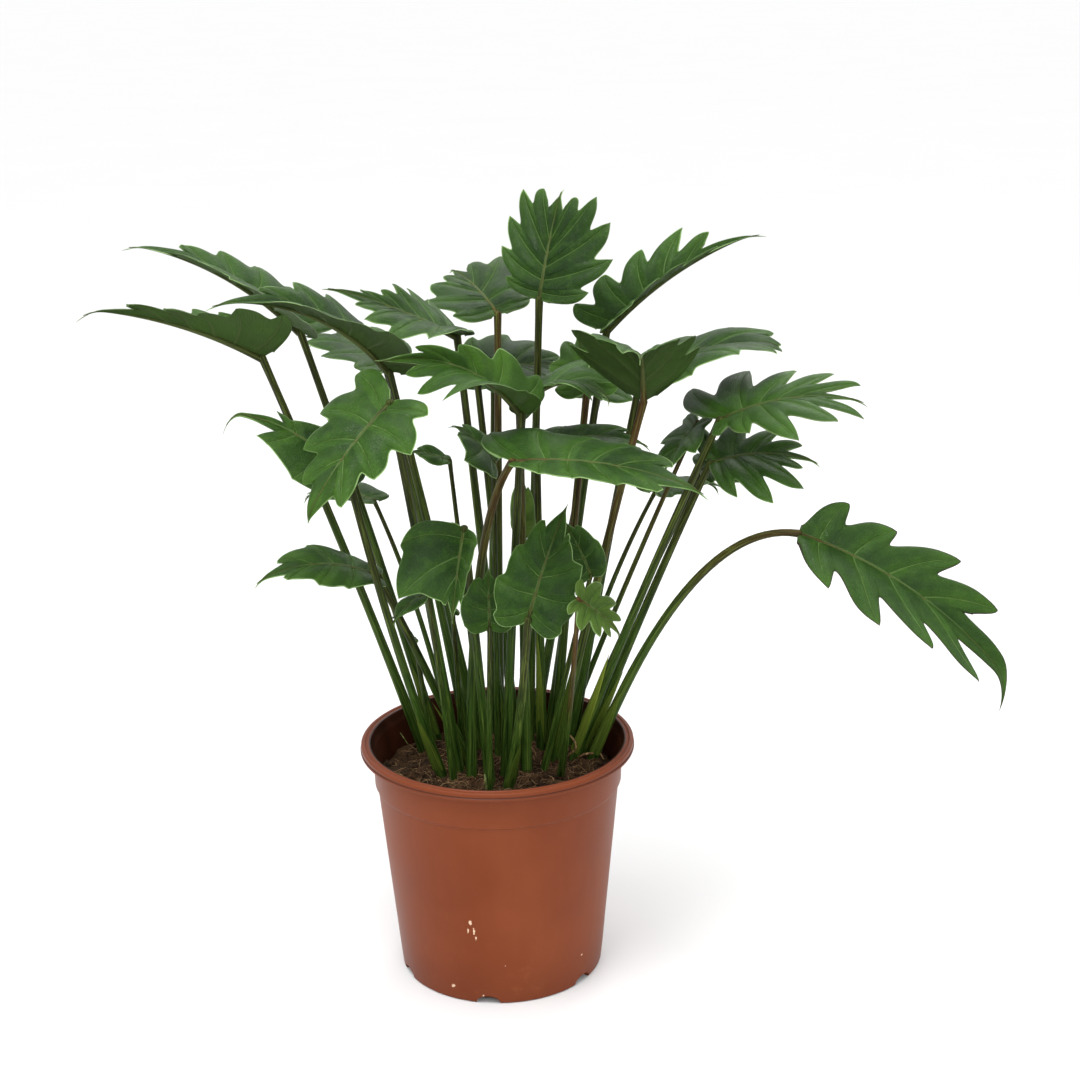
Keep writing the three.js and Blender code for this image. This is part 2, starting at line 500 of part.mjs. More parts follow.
// The middle surface: a row of points on the midrib and a row along the edge on each hand.
function bladeSurface(leaf, stations) {
  const stops = edgeStops(leaf);
  const last = stops.length - 1;
  const points = stops.map((stop) => midribPoint(leaf, stations, stop));
  const tip = points.push(edgePoint(leaf, stations, stops[last], 1)) - 1;
  const triangles = [];
  const edges = [];
  for (const hand of [1, -1]) {
    const edge = stops.map((stop, i) => {
      if (i === last) return tip;
      return points.push(edgePoint(leaf, stations, stop, hand)) - 1;
    });
    for (let i = 0; i < last; i += 1) {
      const next = i + 1;
      if (hand > 0) triangles.push([i, next, edge[next]], [i, edge[next], edge[i]]);
      else triangles.push([i, edge[next], next], [i, edge[i], edge[next]]);
    }
    edges.push([0, ...edge]);
  }
  return { points, triangles, rim: [...edges[0], ...edges[1].slice(1, -1).reverse()] };
}

function buildBlade(leaf, stations) {
  const { points, triangles, rim } = bladeSurface(leaf, stations);
  const normals = points.map(() => new THREE.Vector3());
  for (const [a, b, c] of triangles) {
    const first = points[b].clone().sub(points[a]);
    const second = points[c].clone().sub(points[a]);
    const normal = first.cross(second);
    for (const corner of [a, b, c]) normals[corner].add(normal);
  }
  const lift = (sign) => points.map((point, i) =>
    point.clone().addScaledVector(normals[i].clone().normalize(), (sign * BLADE_THICKNESS) / 2));
  const count = points.length;
  const faces = [...triangles, ...triangles.map(([a, b, c]) => [a + count, c + count, b + count])];
  for (let i = 0; i < rim.length; i += 1) {
    const [a, b] = [rim[i], rim[(i + 1) % rim.length]];
    faces.push([a, b, b + count], [a, b + count, a + count]);
  }
  const both = [...lift(1), ...lift(-1)];
  return solidFrom(both, facingOut(both, faces));
}

// ---- Leaf: the stalk -----------------------------------------------------------------------

function tube(stops) {
  const points = [];
  const triangles = [];
  let across = new THREE.Vector3(1, 0, 0);
  stops.forEach(({ place, radius }, i) => {
    const before = stops[Math.max(i - 1, 0)].place;
    const after = stops[Math.min(i + 1, stops.length - 1)].place;
    const tangent = after.clone().sub(before).normalize();
    across = across.clone().addScaledVector(tangent, -across.dot(tangent)).normalize();
    const other = new THREE.Vector3().crossVectors(tangent, across);
    for (let k = 0; k < STALK_SIDES; k += 1) {
      const angle = (2 * Math.PI * k) / STALK_SIDES;
      points.push(place.clone()
        .addScaledVector(across, radius * Math.cos(angle))
        .addScaledVector(other, radius * Math.sin(angle)));
    }
  });
  for (let i = 0; i < stops.length - 1; i += 1) {
    for (let k = 0; k < STALK_SIDES; k += 1) {
      const next = (k + 1) % STALK_SIDES;
      const [a, b] = [i * STALK_SIDES + k, i * STALK_SIDES + next];
      const [c, d] = [b + STALK_SIDES, a + STALK_SIDES];
      triangles.push([a, b, c], [a, c, d]);
    }
  }
  const end = (stops.length - 1) * STALK_SIDES;
  for (let k = 1; k < STALK_SIDES - 1; k += 1) {
    triangles.push([0, k + 1, k], [end, end + k, end + k + 1]);
  }
  return solidFrom(points, facingOut(points, triangles));
}

function stalkLine(leaf) {
  const [x, y] = leaf.foot;
  const ground = soilHeight(x, y);
  const joint = new THREE.Vector3(...leaf.joint);
  const [lean, climb] = leaf.knee;
  const knee = new THREE.Vector3(mix(x, joint.x, lean), mix(y, joint.y, lean), mix(ground, joint.z, climb));
  const foot = new THREE.Vector3(x, y, ground);
  const start = knee.clone().sub(foot).normalize();
  const sunk = foot.clone().addScaledVector(start, -STALK_SINK);
  const clear = foot.clone().addScaledVector(start, STALK_RISE);
  return { sunk, clear, start, curve: new THREE.QuadraticBezierCurve3(clear, knee, joint) };
}

function stalkRadius(leaf, share) {
  const [base, middle, top] = leaf.stalk;
  if (share < STALK_NARROWS_BY) return mix(base, middle, share / STALK_NARROWS_BY);
  return mix(middle, top, (share - STALK_NARROWS_BY) / (1 - STALK_NARROWS_BY));
}

function buildStalk(leaf, stations) {
  const { sunk, curve } = stalkLine(leaf);
  const stops = [{ place: sunk, radius: leaf.stalk[0] }];
  for (let i = 0; i <= STALK_STEPS; i += 1) {
    const share = i / STALK_STEPS;
    stops.push({ place: curve.getPoint(share), radius: stalkRadius(leaf, share) });
  }
  if (leaf.rise > HANGING_SLOPE) {
    for (const { along, size } of RIB_STOPS) {
      const place = onSpine(stations, along, leaf.length).place;
      stops.push({ place, radius: leaf.stalk[2] * size });
    }
  }
  return tube(stops);
}

function buildSocket(leaf) {
  const { sunk, clear, start } = stalkLine(leaf);
  const radius = leaf.stalk[0] + CLEARANCE / Math.cos(Math.PI / STALK_SIDES);
  return tube([
    { place: sunk.clone().addScaledVector(start, -CLEARANCE), radius },
    { place: clear.clone().addScaledVector(start, STALK_RISE), radius },
  ]);
}

function buildLeaf(leaf) {
  const stations = spineOf(leaf);
  return buildBlade(leaf, stations).add(buildStalk(leaf, stations));
}

// ---- The plant -----------------------------------------------------------------------------

const plant = new THREE.Group();
plant.add(meshFrom('pot', buildPot(), POT_FINISH));

let soil = buildSoil();
for (const leaf of LEAVES) {
  soil = soil.subtract(buildSocket(leaf));
}
plant.add(meshFrom('soil', soil, SOIL_FINISH));

for (const leaf of LEAVES) {
  plant.add(meshFrom(leaf.name, buildLeaf(leaf), LEAF_FINISH));
}

export default plant;
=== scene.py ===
"""A potted philodendron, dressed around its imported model.

Fine lobed leaves on round stalks, a moulded pot, soil with fibres and crumbs, then the floor,
lights and camera. Sizes in the tables are millimetres and degrees, and meshes are made in metres.
"""

import math
import random

import bpy
import numpy as np
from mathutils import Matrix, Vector, noise


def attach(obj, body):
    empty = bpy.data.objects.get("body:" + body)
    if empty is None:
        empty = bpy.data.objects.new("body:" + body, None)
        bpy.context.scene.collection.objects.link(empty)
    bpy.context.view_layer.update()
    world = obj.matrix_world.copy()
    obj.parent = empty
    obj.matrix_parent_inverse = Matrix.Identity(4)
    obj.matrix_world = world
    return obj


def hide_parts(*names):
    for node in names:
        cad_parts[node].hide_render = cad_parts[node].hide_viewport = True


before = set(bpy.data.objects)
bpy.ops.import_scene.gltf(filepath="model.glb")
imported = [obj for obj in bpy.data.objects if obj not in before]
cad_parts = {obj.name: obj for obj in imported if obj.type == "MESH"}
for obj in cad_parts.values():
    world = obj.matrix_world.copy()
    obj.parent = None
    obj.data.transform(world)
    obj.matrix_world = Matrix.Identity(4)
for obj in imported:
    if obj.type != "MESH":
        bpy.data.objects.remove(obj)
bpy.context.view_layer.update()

MM = 0.001
BODY = "root"
SEED = 11
SEED_STEP = 7

# ---- The pot and the soil, as in the model ----

POT_HEIGHT = 186
RIM_RADIUS = 105
RIM_INNER_RADIUS = 97
LIP_DEPTH = 6.5
COLLAR_RADIUS = 95.5
COLLAR_DEPTH = 28
COLLAR_STEP = 2.6
COLLAR_DRAFT = 0.6
GROOVE_RADIUS = 100.4
BASE_RADIUS = 78.5
WALL = 1.8
FLOOR = 3
BASE_ROUND = 2
POT_SEGMENTS = 240

NOTCH_COUNT = 6
NOTCH_FIRST_ANGLE = -97
NOTCH_HALF_WIDTH = 9.5
NOTCH_HEIGHT = 6.5
NOTCH_DEPTH = 9
NOTCH_SIDES = 28

SOIL_LEVEL = 157
SOIL_LUMP = 2.6
SOIL_CROWN = 5
LUMP_SPACING = {"x": 11, "y": 9, "diagonal": 6.5}
LUMP_SHIFT = {"x": 1.3, "y": -0.4}
DIAGONAL_LUMP = 0.6
CLUMP = (12, 24)
CLUMP_RADIUS = 70
CLEARANCE = 0.35

# ---- The leaves: their form as in the model, and their looks ----
# foot: where the stalk enters the soil; joint: where it meets the blade. heading: the blade's
# way in plan, from +X; rise: its slope there; droop: how far the midrib bends down; roll: about
# the midrib; twist: how much further it rolls by its tip; fold: how far each half stands up;
# lobes: on each side; cut: the depth of the bays, as a share of the half width; spread: the first
# vein's angle to the midrib; skew: how much wider the left half's veins spread, and the right's
# less; fan: how early the veins swing towards the midrib's way, the larger the earlier; back: the
# first lobe's length as a share of the half width; narrow: how far along the edge the blade
# starts to narrow; tail: how much shorter the last lobe is beside the midrib's end than at it,
# which leaves a thin tip; left and right: each lobe's length on that hand, from the stalk to the
# tip, as a share of the plain one; wave: how far the edge ripples. stalk: its radius at the soil,
# at mid height and at the blade; knee: how early it leans out and climbs.
# hook: how far the midrib's end bends down, and to its left; sheath: a sheath at the stalk's foot,
# as add_sheath takes it; tone: the blade's colour from 0, dark, to 1, light; red: how brown-red
# the stalk is; brown: how brown the margin is; young: a pale young leaf.

SHAPE = dict(
    roll=0, fold=14, twist=0, lobes=4, fan=1.15, skew=0, narrow=0.35, tail=0.2, left=(), right=(),
    hook=(3.5, 0), sheath=None, tone=0.38, red=0.05, brown=0.0, young=False,
)
FULL = dict(SHAPE, stalk=(4.4, 3.4, 2.6), knee=(0.46, 0.5), spread=135, back=0.8, wave=5)
SMALL = dict(SHAPE, stalk=(3.0, 2.2, 1.6), knee=(0.46, 0.5), spread=140, back=0.7, wave=3)

LEAVES = [
    dict(FULL, name="leaf_left_far", foot=(-60, 46), joint=(-160, -25, 491), heading=196, rise=31, droop=25,
         length=134, width=92, roll=8, fold=46, spread=110, back=1, lobes=5, cut=0.16, narrow=0.2,
         left=(1.1, 0.9, 0.6, 0.35, 0.3), right=(1.1, 0.9, 0.6, 0.3, 0.3), tone=0.35, brown=0.5,
         hook=(7, 0)),
    dict(FULL, name="leaf_left_high", foot=(-50, 60), joint=(-139.5, 38, 496), heading=171, rise=44,
         droop=38, length=150, width=100, roll=4, twist=-10, fold=30, spread=130, back=1, lobes=5, cut=0.16,
         narrow=0.15, left=(0.9, 0.9, 0.8, 0.62, 0.35), right=(0.95, 0.9, 0.6, 0.5, 0.12), tone=0.42,
         sheath=(66, 265, 4.4, 4, 0.3)),
    dict(FULL, name="leaf_left_arching", foot=(-14, 34), joint=(-71, -15, 477), heading=199, rise=52,
         droop=58, length=148, width=100, roll=8, twist=-30, fold=34, spread=125, back=0.9, lobes=5,
         cut=0.16, left=(0.9, 0.8, 0.6, 0.6, 0.4), right=(0.8, 0.85, 0.8, 0.7, 0.4), tone=0.15),
    dict(FULL, name="leaf_left_front", foot=(-30, 0), joint=(-66, -84, 471), heading=223, rise=-31,
         droop=22, length=104, width=86, roll=-18, fold=4, spread=140, cut=0.28, narrow=0.7,
         left=(0.93, 0.92, 0.75, 0.85), right=(1.4, 1.05, 0.86, 0.72), tail=0.06, tone=0.62),
    dict(FULL, name="leaf_left_oval", foot=(-44, 0), joint=(-98, -60, 406), heading=182, rise=58, droop=54,
         length=108, width=58, roll=-46, fold=10, lobes=3, cut=0.01, narrow=0.75, left=(0.9, 1, 0.85),
         right=(0.85, 0.66, 0.36), knee=(0.55, 0.45), tail=0.62, fan=0.85, tone=0.25, hook=(24, 4),
         sheath=(54, 250, 5.0, 4, 0.35)),
    dict(FULL, name="leaf_top_left", foot=(4, 40), joint=(-23, 20, 495), heading=196, rise=30, droop=12,
         length=106, width=112, twist=-50, fold=18, spread=98, back=1, lobes=5, cut=0.2,
         left=(0.65, 1, 1, 0.85, 0.5), right=(0.78, 0.72, 0.6, 0.4, 0.2), skew=12, tone=0.3,
         sheath=(80, 260, 4.6, 4, 0.1)),
    dict(FULL, name="leaf_top_middle", foot=(0, 66), joint=(6, 74, 500), heading=122, rise=32, droop=26,
         length=78, width=118, roll=-8, fold=10, spread=115, cut=0.22, left=(0.7, 0.9, 0.7, 0.6),
         right=(0.6, 1, 1, 0.8), tone=0.2, red=0.6),
    dict(FULL, name="leaf_top", foot=(24, 54), joint=(37.5, 34, 518.5), heading=62, rise=68, droop=8,
         length=86, width=116, roll=2, fold=14, spread=98, lobes=5, cut=0.24, narrow=0.6,
         left=(0.6, 0.75, 0.86, 0.93, 0.8), right=(0.85, 1, 1, 0.92, 0.68), skew=-8, tone=0.12),
    dict(FULL, name="leaf_right_high", foot=(40, 58), joint=(88, 62, 489), heading=10, rise=44, droop=30,
         length=142, width=84, roll=16, fold=44, spread=130, lobes=5, cut=0.42,
         left=(1.05, 0.9, 0.95, 1.15, 0.5), right=(0.7, 0.7, 0.7, 0.5, 0.4), tone=0.45),
    dict(FULL, name="leaf_centre_long", foot=(-20, -14), joint=(17.4, -110, 435), heading=351, rise=6,
         droop=30, length=138, width=84, roll=14, fold=8, spread=150, lobes=5, cut=0.08,
         left=(1.4, 1.25, 1.2, 1.1, 1), right=(0.3, 0.42, 0.55, 0.75, 0.8), knee=(0.1, 0.75), tone=0.45,
         red=0.7),
    dict(FULL, name="leaf_right_upturned", foot=(44, 14), joint=(111, -24, 454), heading=265, rise=66,
         droop=70, length=96, width=136, fold=30, spread=80, cut=0.26, left=(0.85, 0.8, 0.8, 0.8),
         right=(1.1, 1.05, 1, 1), wave=6, red=0.8, sheath=(84, 240, 4.2, 5, 0.15)),
    dict(FULL, name="leaf_right_behind", foot=(57, 40), joint=(112, 40, 456), heading=352, rise=36,
         droop=44, length=112, width=92, roll=8, fold=12, spread=110, cut=0.1, narrow=0.85,
         left=(0.9, 0.9, 1, 1.1), right=(1, 1, 1.2, 1.2), tail=0.06, tone=0.3),
    dict(FULL, name="leaf_left_low", foot=(-22, 12), joint=(-85, -16, 323), heading=196, rise=30, droop=58,
         length=98, width=48, roll=-18, fold=10, cut=0.1, tone=0.6, sheath=(58, 220, 4.2, 5, 0.45)),
    dict(SMALL, name="leaf_left_bud", foot=(-34, -14), joint=(-46, -66, 327), heading=205, rise=-20,
         droop=30, length=36, width=24, lobes=2, cut=0.1),
    dict(FULL, name="leaf_front_hanging", foot=(-6, -20), joint=(-18, -78, 378), heading=252, rise=-58,
         droop=10, length=68, width=84, roll=-12, fold=30, spread=104, lobes=3, cut=0.1,
         left=(0.35, 0.3, 0.3), right=(1.25, 1.3, 0.6), tone=0.25),
    dict(FULL, name="leaf_right_long", foot=(60, 24), joint=(167, -12, 437), heading=349, rise=28, droop=40,
         length=110, width=100, roll=18, fold=8, spread=140, back=0.9, lobes=5, cut=0.44,
         left=(1.4, 1.15, 1, 1.1, 1.5), right=(0.5, 0.65, 1.2, 1.35, 1.9), fan=1.45, tone=0.6, brown=0.5,
         sheath=(92, 215, 4.6, 5, 1.0)),
    dict(FULL, name="leaf_right_fan", foot=(68, 36), joint=(162, 8, 399), heading=353, rise=20, droop=40,
         length=84, width=96, roll=28, fold=8, spread=110, cut=0.44, left=(0.9, 0.75, 0.7, 0.7),
         right=(1, 1.15, 1.25, 0.8), skew=15, tone=0.52, sheath=(74, 290, 4.0, 5, 0.5)),
    dict(SMALL, name="leaf_right_inner", foot=(50, 52), joint=(155, 38, 423), heading=212, rise=-38,
         droop=20, length=50, width=58, roll=10, lobes=3, cut=0.3, tone=0.5, red=0.5),
    dict(SMALL, name="leaf_right_under", foot=(61, 56), joint=(160, 44, 384), heading=12, rise=6, droop=34,
         length=50, width=46, roll=16, lobes=3, cut=0.25),
    dict(FULL, name="leaf_right_drooping", foot=(74, 20), joint=(222, -42, 359), heading=348, rise=-18,
         droop=36, length=200, width=150, roll=35, fold=27, spread=88, cut=0.45,
         left=(0.54, 0.5, 0.71, 0.68), right=(0.84, 0.92, 0.95, 1.3), knee=(0.5, 1.02), fan=0.75, skew=2,
         tone=0.5, red=0.45, brown=1.0, hook=(4, -20), sheath=(60, 250, 4.6, 4, 0.3)),
    dict(FULL, name="leaf_centre_light", foot=(6, -8), joint=(24, -58, 455), heading=171, rise=52, droop=72,
         length=118, width=100, roll=6, twist=-110, fold=44, spread=112, back=1, cut=0.3,
         left=(0.7, 1.35, 1.1, 0.8), right=(0.76, 0.6, 0.42, 0.35), tone=0.7),
    dict(FULL, name="leaf_centre_right", foot=(22, -6), joint=(22, -12, 444), heading=2, rise=62, droop=122,
         length=84, width=114, roll=-30, twist=60, fold=14, spread=112, cut=0.24, left=(0.85, 0.85, 1, 0.9),
         right=(0.5, 0.55, 0.8, 0.8), skew=10, tone=0.4, red=0.5),
    dict(FULL, name="leaf_behind_centre", foot=(12, 76), joint=(-13, 128, 443), heading=18, rise=10,
         droop=28, length=86, width=86, roll=24, spread=110, cut=0.16, tone=0.15),
    dict(FULL, name="leaf_behind_light", foot=(44, 42), joint=(72, 36, 449), heading=100, rise=58, droop=24,
         length=52, width=56, roll=-10, lobes=3, cut=0.2, tone=0.85, red=0.8),
    dict(FULL, name="leaf_centre_wavy", foot=(34, 34), joint=(34, 14, 412), heading=2, rise=18, droop=40,
         length=88, width=64, roll=12, cut=0.08, left=(0.55, 0.55, 0.6, 0.7), wave=6, tone=0.25,
         sheath=(98, 250, 3.4, 4, 0.7)),
    dict(SMALL, name="leaf_centre_bud", foot=(-14, 62), joint=(-33, 60, 390), heading=180, rise=24,
         droop=20, length=34, width=20, roll=-20, lobes=2, cut=0.06),
    dict(FULL, name="leaf_front", foot=(8, -32), joint=(26, -86, 312), heading=44, rise=68, droop=12,
         length=88, width=76, roll=38, fold=8, spread=140, cut=0.12, narrow=0.7,
         left=(0.85, 0.8, 0.72, 0.7), right=(0.85, 0.82, 0.8, 0.55), knee=(0.6, 0.4), tone=0.4,
         sheath=(48, 300, 4.4, 4, 0.2)),
    dict(SMALL, name="leaf_front_glossy", foot=(-6, -36), joint=(-2, -71, 301), heading=95, rise=90,
         droop=2, length=46, width=42, roll=-4, fold=4, lobes=3, cut=0.05, wave=1, tone=0.55),
    dict(SMALL, name="leaf_inner_right", foot=(36, 4), joint=(72, -26, 324), heading=160, rise=70, droop=16,
         length=48, width=33, roll=-60, lobes=3, cut=0.05, tone=0.5),
    dict(SMALL, name="leaf_front_young", foot=(48, -12), joint=(61, -106, 334), heading=8, rise=-34,
         droop=20, length=44, width=42, roll=50, cut=0.42, knee=(0.7, 0.5), tone=0.6, red=1.0, young=True),
    dict(SMALL, name="leaf_inner_narrow", foot=(18, 12), joint=(23.5, 6, 344), heading=100, rise=80,
         droop=10, length=50, width=20, lobes=2, cut=0.05, tone=0.8, young=True),
    dict(SMALL, name="leaf_centre_left", foot=(0, 16), joint=(2, 0, 405), heading=190, rise=60, droop=30,
         length=44, width=54, roll=-24, lobes=3, cut=0.1, left=(1.1, 1.2, 1), right=(0.6, 0.6, 0.6),
         tone=0.3),
    dict(SMALL, name="leaf_inner_left", foot=(-28, 26), joint=(-30, -28, 299), heading=200, rise=70,
         droop=16, length=38, width=32, lobes=2, cut=0.05),
    dict(SMALL, name="leaf_inner_low", foot=(-50, 20), joint=(-62, 14, 262), heading=200, rise=60, droop=16,
         length=28, width=24, lobes=2, cut=0.04),
    dict(FULL, name="leaf_back_left", foot=(-26, 72), joint=(-84, 128, 448), heading=128, rise=24, droop=48,
         length=120, width=84, cut=0.26),
    dict(FULL, name="leaf_back_middle", foot=(-6, 79), joint=(0, 168, 424), heading=94, rise=22, droop=50,
         length=118, width=86, cut=0.3),
    dict(FULL, name="leaf_back_right", foot=(28, 76), joint=(84, 150, 418), heading=58, rise=24, droop=48,
         length=122, width=84, cut=0.32),
    dict(SMALL, name="leaf_back_low", foot=(50, 64), joint=(128, 116, 346), heading=44, rise=10, droop=44,
         length=84, width=56, cut=0.16, knee=(0.4, 0.6)),
    dict(SMALL, name="leaf_back_small", foot=(-38, 72), joint=(-96, 104, 346), heading=146, rise=14,
         droop=44, length=78, width=52, lobes=3, cut=0.12, knee=(0.4, 0.6)),
]


# ---- Blade form ----

SPINE_STEPS = 20
LOBE_STATIONS = 24
TIP_STATIONS = 30
ROWS = 12
# How closely stations crowd towards a lobe's tip and the leaf's, and rows towards the edge.
STATION_SPACING = 1.5
TIP_SPACING = 1.8
ROW_SPACING = 1.25

# Shares and powers: where veins leave the midrib, how lobes and bays end, how the blade cups.
ROOT_SPACING = 1.1
TERMINAL_SHARE = 0.28
TERMINAL_START = 0.78
BASE_NOTCH_CUT = 0.75
BASE_BROADENS_BY = 0.34
CUPPING = 0.14
RIPPLES = 9
RIPPLE_SHIFT = {1: 0.6, -1: 2.4}

LOBE_TIP = 0.68
BAY_WIDTH_SHARE = 0.6
BLUNTNESS = 1.6
BAY_SHARPNESS = 6
TIP_SHARPNESS = 2.2
VEIN_BOW = 0.16
LOBE_HOOK = 0.1
TAIL_WIDTH = 0.022
HOOK_START = 0.86

# The relief, in millimetres, but for the curl's power.
QUILTING = 1.5
QUILT_WIDTH = 6
MIDRIB_FLAT = 8
VEIN_GROOVE = 0.6
GROOVE_WIDTH = 1.3
RIB_HEIGHT = 0.45
RIB_WIDTH = 0.9
RIB_FADE = 12
UNDULATION = 2.8
UNDULATION_SIZE = 34
UNDULATION_FADE = 12
EDGE_CURL = 1.3
CURL_POWER = 8
THICK_MIDDLE = 0.6
THICK_EDGE = 0.3
THICKENS_BY = 5

# ---- Stalk form ----

STALK_SINK = 20
STALK_RISE = 5
STALK_NARROWS_BY = 0.3
STALK_SIDES = 14
STALK_STEPS = 26
CAP_STEPS = 4
CHANNEL = 0.2
SWELLING = 0.16
SWELLS_FROM = 0.94
CAP_BULGE = 0.9
CAP_LEAST = 0.12
RIB_SIDES = 8
RIB_STEPS = 26
RIB_END = 0.965
# Of the stalk's radius: the midrib's radius at the joint and at least, and how it tapers; of its
# own radius: how deep it lies.
RIB_START = 0.86
RIB_LEAST = 0.1
RIB_TAPER = 1.2
RIB_SINK = 0.55


def mix(a, b, share):
    return a + (b - a) * share


def smooth(low, high, value):
    share = np.clip((value - low) / (high - low), 0, 1)
    return share * share * (3 - 2 * share)


def unit(vectors):
    return vectors / np.maximum(np.linalg.norm(vectors, axis=-1, keepdims=True), 1e-12)


# ---- Mesh helpers ----


class Shape:
    """Points, faces, a material for each face and named numbers for each point."""

    def __init__(self, *fields):
        self.points = []
        self.faces = []
        self.slots = []
        self.fields = {name: [] for name in fields}

    def add_points(self, points, **values):
        start = len(self.points)
        self.points.extend(np.asarray(points).reshape(-1, 3).tolist())
        count = len(self.points) - start
        for name, numbers in self.fields.items():
            value = values.get(name, 0.0)
            numbers.extend(np.broadcast_to(np.asarray(value, float).ravel(), (count,)).tolist())
        return start

    def add_faces(self, faces, slot=0):
        self.faces.extend(faces)
        self.slots.extend([slot] * len(faces))

    def build(self, name, materials, sharp=40):
        mesh = bpy.data.meshes.new(name)
        mesh.from_pydata((np.array(self.points) * MM).tolist(), [], self.faces)
        for material in materials:
            mesh.materials.append(material)
        mesh.polygons.foreach_set("material_index", self.slots)
        for field, numbers in self.fields.items():
            mesh.attributes.new(field, "FLOAT", "POINT").data.foreach_set("value", numbers)
        mesh.shade_smooth()
        mesh.set_sharp_from_angle(angle=math.radians(sharp))
        piece = bpy.data.objects.new(name, mesh)
        bpy.context.scene.collection.objects.link(piece)
        return piece


def grid_faces(index, flip=False):
    """Quads over a 2D array of point numbers."""
    a, b = index[:-1, :-1].ravel(), index[1:, :-1].ravel()
    c, d = index[1:, 1:].ravel(), index[:-1, 1:].ravel()
    quads = np.stack([a, b, c, d], axis=1)
    if flip:
        quads = quads[:, ::-1]
    return [tuple(dict.fromkeys(quad)) for quad in quads.tolist() if len(set(quad)) > 2]


def circle(count):
    """The angles of count points evenly round a circle."""
    return 2 * np.pi * np.arange(count) / count


def join_rings(shape, rings, slot=0, flip=True, **values):
    """The side faces through rings of points, and the rings' point numbers, each ring closed."""
    rings = np.array(rings)
    count, sides = rings.shape[:2]
    index = shape.add_points(rings, **values) + np.arange(count * sides).reshape(count, sides)
    index = np.concatenate([index, index[:, :1]], axis=1)
    shape.add_faces(grid_faces(index, flip=flip), slot)
    return index


def tube(shape, path, radii, sides, slot=0, squash=None, **values):
    """A tube along path, closed by a flat face at each end. squash(angles) scales each ring's
    radius round its section, and values holds a field's value or its values along the path.
    """
    path = np.asarray(path, float)
    count = len(path)
    tangents = unit(np.gradient(path, axis=0))
    across = np.array([1.0, 0.0, 0.0])
    if abs(tangents[0] @ across) > 0.9:
        across = np.array([0.0, 1.0, 0.0])
    angles = circle(sides)
    scale = np.ones(sides) if squash is None else squash(angles)
    rings = []
    for place, tangent, radius in zip(path, tangents, radii):
        across = unit(across - tangent * (across @ tangent))
        other = np.cross(tangent, across)
        ring = np.outer(np.cos(angles) * scale, across) + np.outer(np.sin(angles) * scale, other)
        rings.append(place + radius * ring)
    spread = {name: np.repeat(np.broadcast_to(value, (count,)), sides) for name, value in values.items()}
    spread["round_x"] = np.tile(np.cos(angles), count)
    spread["round_y"] = np.tile(np.sin(angles), count)
    index = join_rings(shape, rings, slot, **spread)
    shape.add_faces([tuple(index[0, -2::-1].tolist()), tuple(index[-1, :-1].tolist())], slot)


def ring_at(radius, height, sides):
    """A level ring of points round the pot's axis."""
    turns = circle(sides)
    return np.stack([radius * np.cos(turns), radius * np.sin(turns), np.full(sides, height)], axis=1)


def fanned_rings(shape, rings, first, last, flip):
    """A closed body through rings of points, with a fan from each end ring to its end point."""
    index = join_rings(shape, rings, flip=flip)
    for end, ring, turned in ((first, index[0], flip), (last, index[-1], not flip)):
        tip = shape.add_points([end])
        for a, b in zip(ring.tolist(), ring[1:].tolist()):
            shape.add_faces([(tip, b, a) if turned else (tip, a, b)])


# ---- Leaf: midrib, outline and surface ----


def spine_of(leaf):
    """Places along the midrib, with the blade's way, left side and normal at each."""
    along = np.arange(SPINE_STEPS + 1) / SPINE_STEPS
    pitch = np.radians(leaf["rise"] - leaf["droop"] * along)
    heading = np.full(len(along), np.radians(leaf["heading"]))
    roll = np.radians(leaf["roll"] + leaf["twist"] * along)[:, None]
    flat = np.cos(pitch)
    tangent = np.stack([np.cos(heading) * flat, np.sin(heading) * flat, np.sin(pitch)], axis=1)
    level = np.stack([-np.sin(heading), np.cos(heading), 0 * along], axis=1)
    side = level * np.cos(roll) + np.cross(tangent, level) * np.sin(roll)
    steps = np.cumsum(tangent[:-1] * leaf["length"] / SPINE_STEPS, axis=0)
    place = np.array(leaf["joint"], float) + np.concatenate([np.zeros((1, 3)), steps])
    return dict(place=place, tangent=tangent, side=side, normal=np.cross(tangent, side))


def on_spine(spine, along, length):
    """The midrib's place, way, side and normal at shares of its length, straight on past its ends."""
    inside = np.clip(along, 0, 1) * SPINE_STEPS
    low = np.minimum(inside.astype(int), SPINE_STEPS - 1)
    share = (inside - low)[..., None]
    at = {key: mix(values[low], values[low + 1], share) for key, values in spine.items()}
    tangent = unit(at["tangent"])
    beyond = np.where(along < 0, along, np.maximum(along - 1, 0))[..., None]
    return at["place"] + tangent * beyond * length, tangent, unit(at["side"]), unit(at["normal"])


def edge_stations(lobes, per_lobe):
    """Each mesh line's stop from stalk to tip, its place in its lobe, and if it is past the last."""
    before = np.arange(round(per_lobe * LOBE_TIP)) / round(per_lobe * LOBE_TIP)
    after = np.arange(per_lobe - len(before)) / (per_lobe - len(before))
    in_lobe = np.concatenate([
        LOBE_TIP * before ** STATION_SPACING,
        LOBE_TIP + (1 - LOBE_TIP) * (1 - (1 - after) ** STATION_SPACING),
    ])
    lobe_stops = (np.arange(lobes)[:, None] + in_lobe[None, :]).ravel() / lobes * TERMINAL_START
    tip_place = 1 - (1 - np.linspace(0, 1, TIP_STATIONS)) ** TIP_SPACING
    stops = np.concatenate([lobe_stops, mix(TERMINAL_START, 1, tip_place)])
    places = np.concatenate([np.tile(in_lobe, lobes), tip_place])
    terminal = np.arange(len(stops)) >= len(lobe_stops)
    return stops, places, terminal


